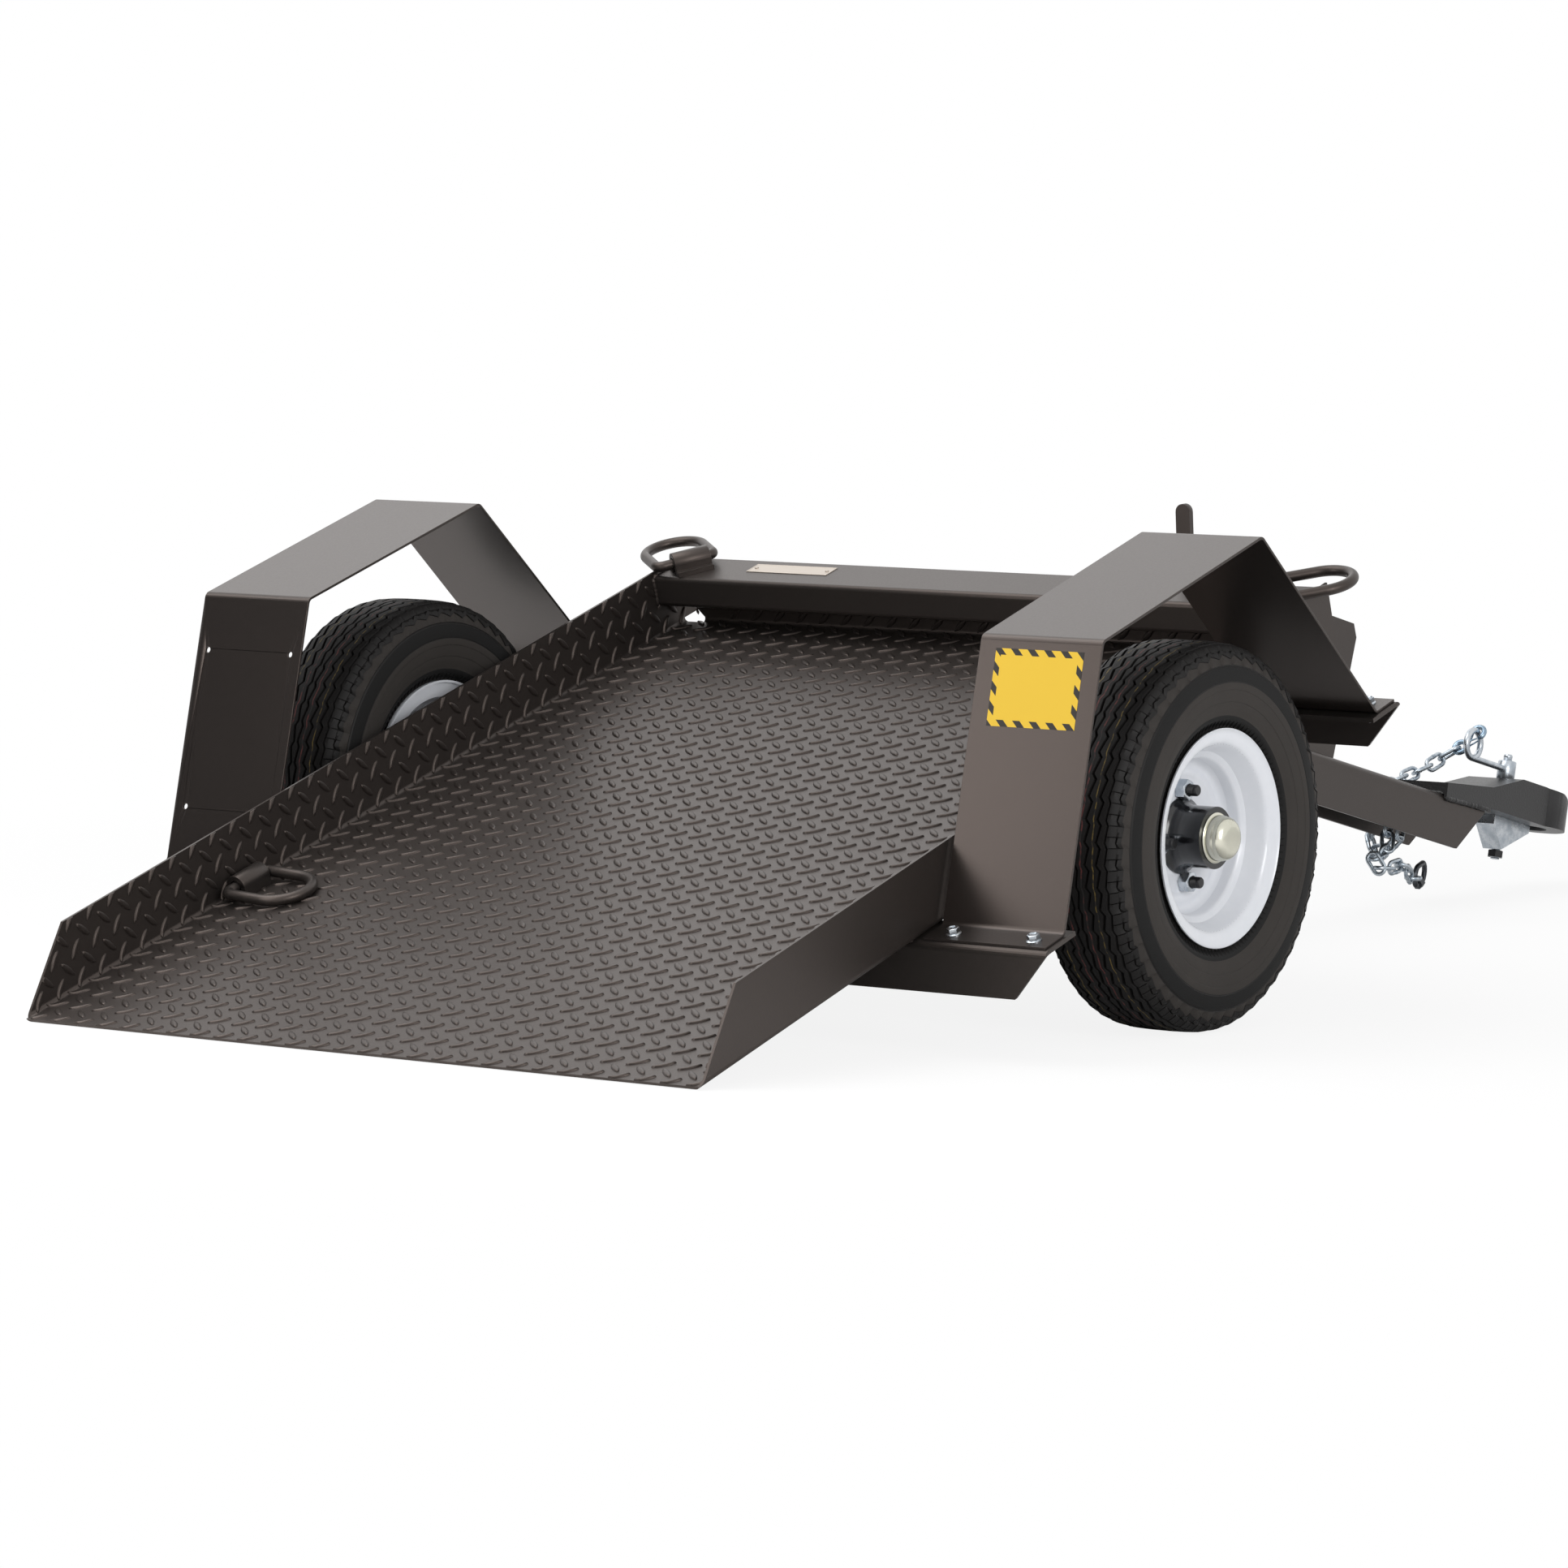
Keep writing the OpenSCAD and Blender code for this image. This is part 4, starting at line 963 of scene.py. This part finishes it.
class TRAILER_OT_hang_chains(bpy.types.Operator):
    """Hangs the two chains with their hook and quick link from a plate, and fits the coupler's handle"""

    bl_idname = "trailer.hang_chains"
    bl_label = "Hang Chains"

    # Holed plate under the channel's web, and the chains' routes from the middle between its holes
    plate_at = Vector((951.5, 0, -3))
    plate_t = 4
    hole_r = 6
    hole_step = 15.5
    plate_top = 30
    plate_foot = 13
    seat_drop = 5.35
    link_length = 25
    link_gap = 9.5
    link_wire = 5.4
    pitch = 24.7
    # Weld seam on one side of a link: places along it, and how far it stands out
    seam = (-0.1, 1.5, 3.1)
    seam_proud = 0.35
    upper_turn = 97
    upper_route = (
        (17, 20, -50.75), (22, 46, -48.75), (32, 56, -14), (62, 56, 44), (104, 55, 62), (138, 46, 80),
    )
    lower_route = (
        (-19, -6, -50), (-45, -12, -60), (-76, -16, -74), (-60, -27, -84), (-10, -28, -66),
        (18, -22, -82), (50, -12, -76),
    )
    # Handle over the coupler: screw, collar and a rod bent to an eye
    screw_x = 1216
    screw_r = 6
    screw_low = -22
    screw_high = 118
    screw_pitch = 1.75
    # Across, low, high and face radius of the screw's nuts: dark under the jaw, bright on the housing
    jaw_nut = (19.05, -19.5, -10.4, 9)
    top_nut = (19.05, 83.1, 88, 9)
    collar = ((6.2, 84), (11.2, 84), (12, 84.8), (12, 108), (11.2, 109), (6.2, 109))
    rod_z = 98
    rod_r = 4.25
    eye_x = 1122
    eye_r = 18
    # Hook over the handle's eye
    hook_wire = 7
    crook_r = 9
    hook_eye_r = 8.5
    shank = 24
    lean = 65
    # Sprung latch: its wire's corners with the share of its half width, and the rivet that holds it
    latch_half = 4.2
    latch_r = 1.1
    latch = ((-19, 8.4, 1), (-15, 3, 0.9), (-10.5, -3.4, 0.6))
    rivet = ((2.4, -5.4), (2.4, 5.4))
    quick = (40, 18, 7)
    sleeve = (11, -8, 8, 5.2)
    quick_way = Vector((0.9, 0.26, 0.34))

    def execute(self, context):
        self.plate()
        self.handle()
        end, way = self.hook()
        over = [self.plate_at + Vector(p) for p in self.upper_route]
        self.chain("upper", 1, over + [end + self.pitch * way, end], self.upper_turn)
        last = self.chain("lower", -1, [self.plate_at + Vector(p) for p in self.lower_route], 90)
        self.quick_link(last)
        return {"FINISHED"}

    def plate(self):
        """Black plate with a round hole for each chain's first link."""
        step, foot, top = self.hole_step, -self.plate_foot, self.plate_top
        corner = step + 5
        outline = ((-2 * step, top), (-2 * step, 0), (-corner, foot),
                   (corner, foot), (2 * step, 0), (2 * step, top))
        bm = bmesh.new()
        for side in (-1, 1):
            # Each half of the plate runs from its outline in to its hole
            half = [(0, foot), (0, top)] + [p for p in outline if p[0] * side > 0]
            half.sort(key=lambda p: math.atan2(p[1], (p[0] - side * step)))
            around = [Vector((side * step + self.hole_r * math.cos(a), self.hole_r * math.sin(a)))
                      for a in (2 * math.pi * k / 24 for k in range(24))]
            edge = [self.reach(half, Vector((side * step, 0)), p) for p in around]
            rings = []
            half_t = self.plate_t / 2
            for y, line in ((-half_t, edge), (half_t, edge), (half_t, around), (-half_t, around)):
                rings.append([tongue @ ((self.plate_at + Vector((p.x, y, p.y))) * MM) for p in line])
            loft(bm, rings, "join")
        hanger = piece("chain_plate", bm, [finish("frame_black")], "tongue")
        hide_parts("chain_hanger")

    def reach(self, outline, centre, toward):
        """Point where a ray from centre leaves a closed outline."""
        way = (toward - centre).normalized()
        best = 0
        for a, b in zip(outline, outline[1:] + outline[:1]):
            a, b = Vector(a) - centre, Vector(b) - centre
            side = b - a
            across = way.x * side.y - way.y * side.x
            if abs(across) > 1e-9:
                far = (a.x * side.y - a.y * side.x) / across
                share = (a.x * way.y - a.y * way.x) / across
                if far > 0 and -1e-6 <= share <= 1 + 1e-6:
                    best = max(best, far)
        return centre + way * best

    def handle(self):
        """Threaded screw with its nut, collar and eye rod, in bright zinc."""
        at = tongue @ Matrix.Translation((self.screw_x * MM, 0, 0))
        bm = bmesh.new()
        threaded_rod(bm, at, self.screw_r, self.screw_low, self.screw_high, self.screw_pitch)
        turned(bm, at, self.collar, 40, "join")
        hex_solid(bm, at, *self.jaw_nut, self.screw_r + 0.05, material=1)
        hex_solid(bm, at, *self.top_nut, self.screw_r + 0.05)
        stops = [self.screw_x - away for away in (10, 40, 70)] + [self.eye_x]
        wire(bm, tongue, [Vector((x, 0, self.rod_z)) for x in stops], self.rod_r)
        centre = Vector((self.eye_x, 0, self.rod_z + self.eye_r))
        ring = [centre + Vector((math.sin(a), 0, -math.cos(a))) * self.eye_r
                for a in (2 * math.pi * k / 40 for k in range(40))]
        wire(bm, tongue, ring, self.rod_r, True)
        made = piece("handle_rod", bm, [finish("zinc"), finish("stud_black")], "tongue", 50)
        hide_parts("coupler_handle")

    def hook(self):
        """Blue zinc hook with a sprung latch; gives where its eye holds a link, and the chain's way there."""
        lean = math.radians(self.lean)
        up = Vector((math.cos(lean), 0, math.sin(lean)))
        crook = Vector((self.eye_x, 0, self.rod_z + self.eye_r)) + self.eye_r * up
        place = tongue @ Matrix.Translation(crook * MM) @ Matrix.Rotation(-lean, 4, "Y")
        bend = [Vector((math.cos(a), math.sin(a), 0)) * self.crook_r
                for a in (math.radians(-160 + 250 * k / 20) for k in range(21))]
        eye = Vector((-self.shank, self.crook_r + self.hook_eye_r, 0))
        bm = bmesh.new()
        radius = self.hook_wire / 2
        bend += [Vector((-self.shank * k / 4, self.crook_r, 0)) for k in range(1, 5)]
        path = [place @ (p * MM) for p in bend]
        sweep(bm, path, lambda i: radius * MM * min(1, 0.55 + 0.15 * i), 12)
        ring = [eye + Vector((math.cos(a), math.sin(a), 0)) * self.hook_eye_r
                for a in (2 * math.pi * k / 28 for k in range(28))]
        wire(bm, place, ring, radius, True)
        for side in (-1, 1):
            blade = [Vector((x, y, side * share * self.latch_half)) for x, y, share in self.latch]
            wire(bm, place, blade, self.latch_r)
        turned(bm, place @ Matrix.Translation((-19 * MM, self.crook_r * MM, 0)), self.rivet, 20)
        made = piece("latch_hook", bm, [finish("hook_blue_zinc")], "tongue", 50)
        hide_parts("safety_hook")
        way = Vector((0, 0.75, 0)) - 0.66 * up
        held = crook + Vector((0, self.crook_r + self.hook_eye_r, 0)) - self.shank * up
        return held + 4.05 * way, way

    def chain(self, name, side, route, turn):
        """Welded links every pitch along a route from a hole of the plate; gives where the last one ends."""
        hole = self.plate_at + Vector((side * self.hole_step, 0, -self.seat_drop))
        route = [hole, hole - Vector((0, 0, self.pitch))] + route
        total = sum((b - a).length for a, b in zip(route, route[1:]))
        count = math.floor(total / self.pitch + 0.01)
        line = oval(self.link_length, self.link_gap, self.link_wire)
        bm = bmesh.new()
        for k in range(count):
            a, b = self.along(route, k * self.pitch), self.along(route, (k + 1) * self.pitch)
            place = tongue @ laid(a, b, turn * k)
            wire(bm, place, line, self.link_wire / 2, True)
            bow = (self.link_gap + self.link_wire) / 2
            wire(bm, place, [Vector((x, 0, bow)) for x in self.seam], self.link_wire / 2 + self.seam_proud)
        made = piece(f"{name}_links", bm, [finish("chain_zinc")], "tongue", 50)
        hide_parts(f"{name}_chain")
        return self.along(route, count * self.pitch)

    def along(self, route, distance):
        """Point at a distance along a route, past its end if need be."""
        for a, b in zip(route, route[1:]):
            length = (b - a).length
            if distance <= length:
                break
            distance -= length
        else:
            distance += length
        return a + (b - a) * (distance / length)

    def quick_link(self, start):
        """Dark steel quick link with its hexagon sleeve."""
        length, gap, thick = self.quick
        end = start + (length - 0.6) * self.quick_way.normalized()
        place = tongue @ laid(start, end, 0)
        bm = bmesh.new()
        wire(bm, place, oval(length, gap, thick), thick / 2, True)
        beside = Matrix.Translation(Vector((0, 0, -(gap + thick) / 2)) * MM)
        sleeve = place @ beside @ Matrix.Rotation(math.pi / 2, 4, "Y")
        hex_solid(bm, sleeve, *self.sleeve, thick / 2)
        made = piece("screwed_quick_link", bm, [finish("bare_steel")], "tongue", 50)
        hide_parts("quick_link")


class TRAILER_OT_lay_welds(bpy.types.Operator):
    """Lays the weld beads on the tray, clips, crossmembers, post and coupler"""

    bl_idname = "trailer.lay_welds"
    bl_label = "Lay Welds"

    # Deck beads: corners in millimetres, bead width; each is laid on both sides
    deck_lines = (
        (((1204, 454, 40), (1204, 454, 76)), 6),
        (((1207, 453.5, 77), (1277, 453.5, 77)), 6),
        (((397, 430, 0), (397, 452, 0)), 5),
        (((1137, 380, 0), (1137, 452, 0)), 5),
    )
    tongue_lines = (
        (((1000, 39.5, 27), (1115, 39.5, 30)), 7),
        (((1001, 36, 33), (1001, -36, 33)), 6),
    )

    def execute(self, context):
        bm = bmesh.new()
        for line, width in self.deck_lines:
            for side in (1, -1):
                bead(bm, deck, line, side, width)
        piece("deck_welds", bm, [finish("frame_black")], "deck", 60)
        bm = bmesh.new()
        for line, width in self.tongue_lines:
            for side in (1, -1):
                bead(bm, tongue, line, side, width)
        piece("tongue_welds", bm, [finish("cast_black")], "tongue", 60)
        return {"FINISHED"}


class TRAILER_OT_fix_labels(bpy.types.Operator):
    """Fixes the bare riveted plate on the cross tube and the plain striped label on the right fender"""

    bl_idname = "trailer.fix_labels"
    bl_label = "Fix Labels"

    plate_from = (1237, 219)
    plate_t = 0.9
    # Plate's edge with its rolled line: inset, and height over or under the top face
    edge_line = ((0, -0.88), (0, -0.2), (0.3, 0), (1.3, 0), (1.6, -0.3))
    rivet_in = 7
    rivet = ((2.4, -0.6), (2.4, 0.2), (1.9, 0.9), (0.9, 1.25))
    label_out = 484
    below_corner = 12.6
    label_t = 0.25
    border = 7
    stripe_pitch = 21

    def execute(self, context):
        sizes = context.scene.trailer_label
        self.plate(sizes)
        self.label(sizes)
        return {"FINISHED"}

    def plate(self, sizes):
        """Aluminium plate with a rolled edge line and two rivets."""
        length, width = sizes.plate_length / MM, sizes.plate_width / MM
        x0, y0 = self.plate_from
        spot = deck @ Matrix.Translation(Vector((x0 + width / 2, y0 + length / 2, TUBE_TOP)) * MM)
        bm = bmesh.new()
        rings = []
        for inset, z in self.edge_line:
            a, b = width / 2 - inset, length / 2 - inset
            corners = ((-a, -b), (a, -b), (a, b), (-a, b))
            rings.append([spot @ (Vector((x, y, self.plate_t + z)) * MM) for x, y in corners])
        loft(bm, rings)
        profile = [(r, self.plate_t + z) for r, z in self.rivet]
        reach = (length / 2 - self.rivet_in) * MM
        for end in (-reach, reach):
            turned(bm, spot @ Matrix.Translation((0, end, 0)), profile, 20)
        piece("bare_data_plate", bm, [finish("aluminium")], "deck")

    def label(self, sizes):
        """Vinyl film on the outer face of the right fender's rear leg."""
        width, height = sizes.label_width / MM, sizes.label_height / MM
        foot, top = Vector((REAR_FOOT, SHEET / 2)), Vector((REAR_TOP, FENDER_H - SHEET / 2))
        way = (top - foot).normalized()
        out = Vector((-way.y, way.x))
        upper = top - way * self.below_corner + out * SHEET / 2
        bm = bmesh.new()
        layer = bm.loops.layers.uv.new("label")
        sheet = ((0, 0), (width, 0), (width, height), (0, height))
        rings = []
        for lift in (0.03, self.label_t):
            corners = []
            for u, v in sheet:
                at = upper - way * (height - v) + out * lift
                corners.append(deck @ (Vector((at.x, -self.label_out - width + u, at.y)) * MM))
            rings.append(corners)
        spots = {}
        for row in loft(bm, rings):
            for vert, (u, v) in zip(row, sheet):
                spots[vert] = (u * MM, v * MM)
        for face in bm.faces:
            for loop in face.loops:
                loop[layer].uv = spots[loop.vert]
        vinyl = printed_vinyl("printed_yellow_vinyl", sizes.label_colour, "#2b2724", width, height,
                              self.border, self.stripe_pitch)
        piece("striped_label", bm, [vinyl], "deck")


class TRAILER_OT_set_studio(bpy.types.Operator):
    """Sets the white floor, the soft lights and the camera of the photograph"""

    bl_idname = "trailer.set_studio"
    bl_label = "Set Studio"

    # The camera sees this share of plain white on the floor, and nothing else from floor_far on
    white_share = 0.87
    floor_size = 9
    # Below the ground by less than shows, so that nothing flickers on it
    floor_drop = 0.0008
    # Cosines between which reflections fade to the dark side, and how dark that is
    shade_edge = 0.55
    shade_heart = 0.85
    shade_depth = 0.97
    # Lamps: name, place, target, size in metres and the setting that holds its power
    lamps = (
        ("key_light", (-1.6, 1.2, 3.4), (0, 0, 0.2), 3.2, "key"),
        ("side_light", (-2.4, -4.2, 1.6), (0, 0, 0.2), 2, "fill"),
        ("leg_panel", (-1.95, 0.46, 0.72), (-0.62, -0.54, 0.27), 0.8, "panel"),
        ("sky_panel", (2, 2.4, 2.6), (-0.2, 0, 0.3), 2.6, "sky"),
    )
    floor_near = 1.2
    floor_far = 2.4

    def execute(self, context):
        sizes = context.scene.trailer_studio
        context.scene.view_settings.view_transform = "Standard"
        self.camera(context, sizes)
        self.world(context, sizes)
        self.floor(context)
        for name, place, target, size, power in self.lamps:
            self.lamp(context, name, place, target, size, getattr(sizes, power))
        return {"FINISHED"}

    def camera(self, context, sizes):
        """Camera at the photograph's place."""
        data = bpy.data.cameras.new("camera")
        data.lens = sizes.lens
        data.sensor_width = 36
        obj = bpy.data.objects.new("camera", data)
        obj.location = sizes.camera_place
        obj.rotation_euler = sizes.camera_turn
        context.scene.collection.objects.link(obj)
        context.scene.camera = obj

    def world(self, context, sizes):
        """White behind the object and in reflections, plain grey light elsewhere."""
        world = bpy.data.worlds.new("studio")
        context.scene.world = world
        world.use_nodes = True
        tree = world.node_tree
        tree.nodes.clear()
        rays = add(tree, "ShaderNodeLightPath").outputs
        seen = add(tree, "ShaderNodeMath", {
            0: rays["Is Camera Ray"], 1: rays["Is Glossy Ray"],
        }, operation="MAXIMUM")
        seen = add(tree, "ShaderNodeMath", {
            0: seen.outputs[0], 1: rays["Is Transmission Ray"],
        }, operation="MAXIMUM")
        strength = add(tree, "ShaderNodeMapRange", {
            "Value": seen.outputs[0], "To Min": sizes.ambient, "To Max": 1,
        })
        way = add(tree, "ShaderNodeTexCoord").outputs["Generated"]
        toward = add(tree, "ShaderNodeVectorMath", {
            0: way, 1: Vector(sizes.shade_way).normalized(),
        }, operation="DOT_PRODUCT")
        shade = add(tree, "ShaderNodeMapRange", {
            "Value": toward.outputs["Value"], "From Min": self.shade_edge, "From Max": self.shade_heart,
            "To Min": 0, "To Max": self.shade_depth,
        }, interpolation_type="SMOOTHSTEP")
        reflected = add(tree, "ShaderNodeMath", {
            0: shade.outputs[0], 1: rays["Is Glossy Ray"],
        }, operation="MULTIPLY")
        left = add(tree, "ShaderNodeMath", {0: 1, 1: reflected.outputs[0]}, operation="SUBTRACT")
        level = add(tree, "ShaderNodeMath", {
            0: strength.outputs[0], 1: left.outputs[0],
        }, operation="MULTIPLY")
        light = add(tree, "ShaderNodeBackground", {"Color": (1, 1, 1, 1), "Strength": level.outputs[0]})
        add(tree, "ShaderNodeOutputWorld", {"Surface": light.outputs[0]})

    def floor(self, context):
        """Pale floor that shows white to the camera but keeps a soft shadow."""
        bm = bmesh.new()
        bmesh.ops.create_grid(bm, x_segments=2, y_segments=2, size=self.floor_size)
        mesh = bpy.data.meshes.new("studio_floor")
        bm.to_mesh(mesh)
        bm.free()
        obj = bpy.data.objects.new("studio_floor", mesh)
        obj.location.z = -self.floor_drop
        context.scene.collection.objects.link(obj)
        material = bpy.data.materials.new("studio_floor_paint")
        material.use_nodes = True
        tree = material.node_tree
        tree.nodes.clear()
        matt = add(tree, "ShaderNodeBsdfDiffuse", {"Color": linear("#f4f4f4")})
        white = add(tree, "ShaderNodeEmission", {"Color": (1, 1, 1, 1), "Strength": 1.0})
        rays = add(tree, "ShaderNodeLightPath").outputs
        place = add(tree, "ShaderNodeTexCoord").outputs["Object"]
        away = add(tree, "ShaderNodeVectorMath", {0: place}, operation="LENGTH")
        fade = add(tree, "ShaderNodeMapRange", {
            "Value": away.outputs["Value"], "From Min": self.floor_near, "From Max": self.floor_far,
            "To Min": self.white_share, "To Max": 1,
        }, interpolation_type="SMOOTHSTEP")
        share = add(tree, "ShaderNodeMath", {
            0: rays["Is Camera Ray"], 1: fade.outputs[0],
        }, operation="MULTIPLY")
        mixed = add(tree, "ShaderNodeMixShader", {
            0: share.outputs[0], 1: matt.outputs[0], 2: white.outputs[0],
        })
        add(tree, "ShaderNodeOutputMaterial", {"Surface": mixed.outputs[0]})
        mesh.materials.append(material)

    def lamp(self, context, name, place, target, size, watts):
        """Soft square light that faces a target."""
        data = bpy.data.lights.new(name, "AREA")
        data.shape = "SQUARE"
        data.size = size
        data.energy = watts
        obj = bpy.data.objects.new(name, data)
        obj.location = place
        obj.rotation_euler = (Vector(place) - Vector(target)).to_track_quat("Z", "Y").to_euler()
        obj.visible_camera = False
        context.scene.collection.objects.link(obj)


STEPS = (
    TRAILER_OT_coat, TRAILER_OT_raise_tread, TRAILER_OT_mould_tyres, TRAILER_OT_press_rims,
    TRAILER_OT_fit_wheel_nuts, TRAILER_OT_bolt_fenders, TRAILER_OT_hang_chains, TRAILER_OT_lay_welds,
    TRAILER_OT_fix_labels, TRAILER_OT_set_studio,
)


class TRAILER_PT_panel(bpy.types.Panel):
    """Lists the trailer's settings and steps"""

    bl_idname = "TRAILER_PT_panel"
    bl_label = "Tilt Trailer"
    bl_space_type = "VIEW_3D"
    bl_region_type = "UI"
    bl_category = "Trailer"

    def draw(self, context):
        for holder in SETTINGS:
            group = getattr(context.scene, holder)
            box = self.layout.box()
            for key in group.__annotations__:
                box.prop(group, key)
        for step in STEPS:
            self.layout.operator(step.bl_idname)


def register():
    """Registers the settings, steps and panel."""
    for holder, group in SETTINGS.items():
        bpy.utils.register_class(group)
        setattr(bpy.types.Scene, holder, PointerProperty(type=group))
    for step in STEPS:
        bpy.utils.register_class(step)
    bpy.utils.register_class(TRAILER_PT_panel)


def unregister():
    """Removes what register added."""
    bpy.utils.unregister_class(TRAILER_PT_panel)
    for step in reversed(STEPS):
        bpy.utils.unregister_class(step)
    for holder, group in reversed(list(SETTINGS.items())):
        delattr(bpy.types.Scene, holder)
        bpy.utils.unregister_class(group)


def main():
    """Runs every step in order."""
    register()
    for step in STEPS:
        area, action = step.bl_idname.split(".")
        getattr(getattr(bpy.ops, area), action)()


if __name__ == "__main__":
    main()
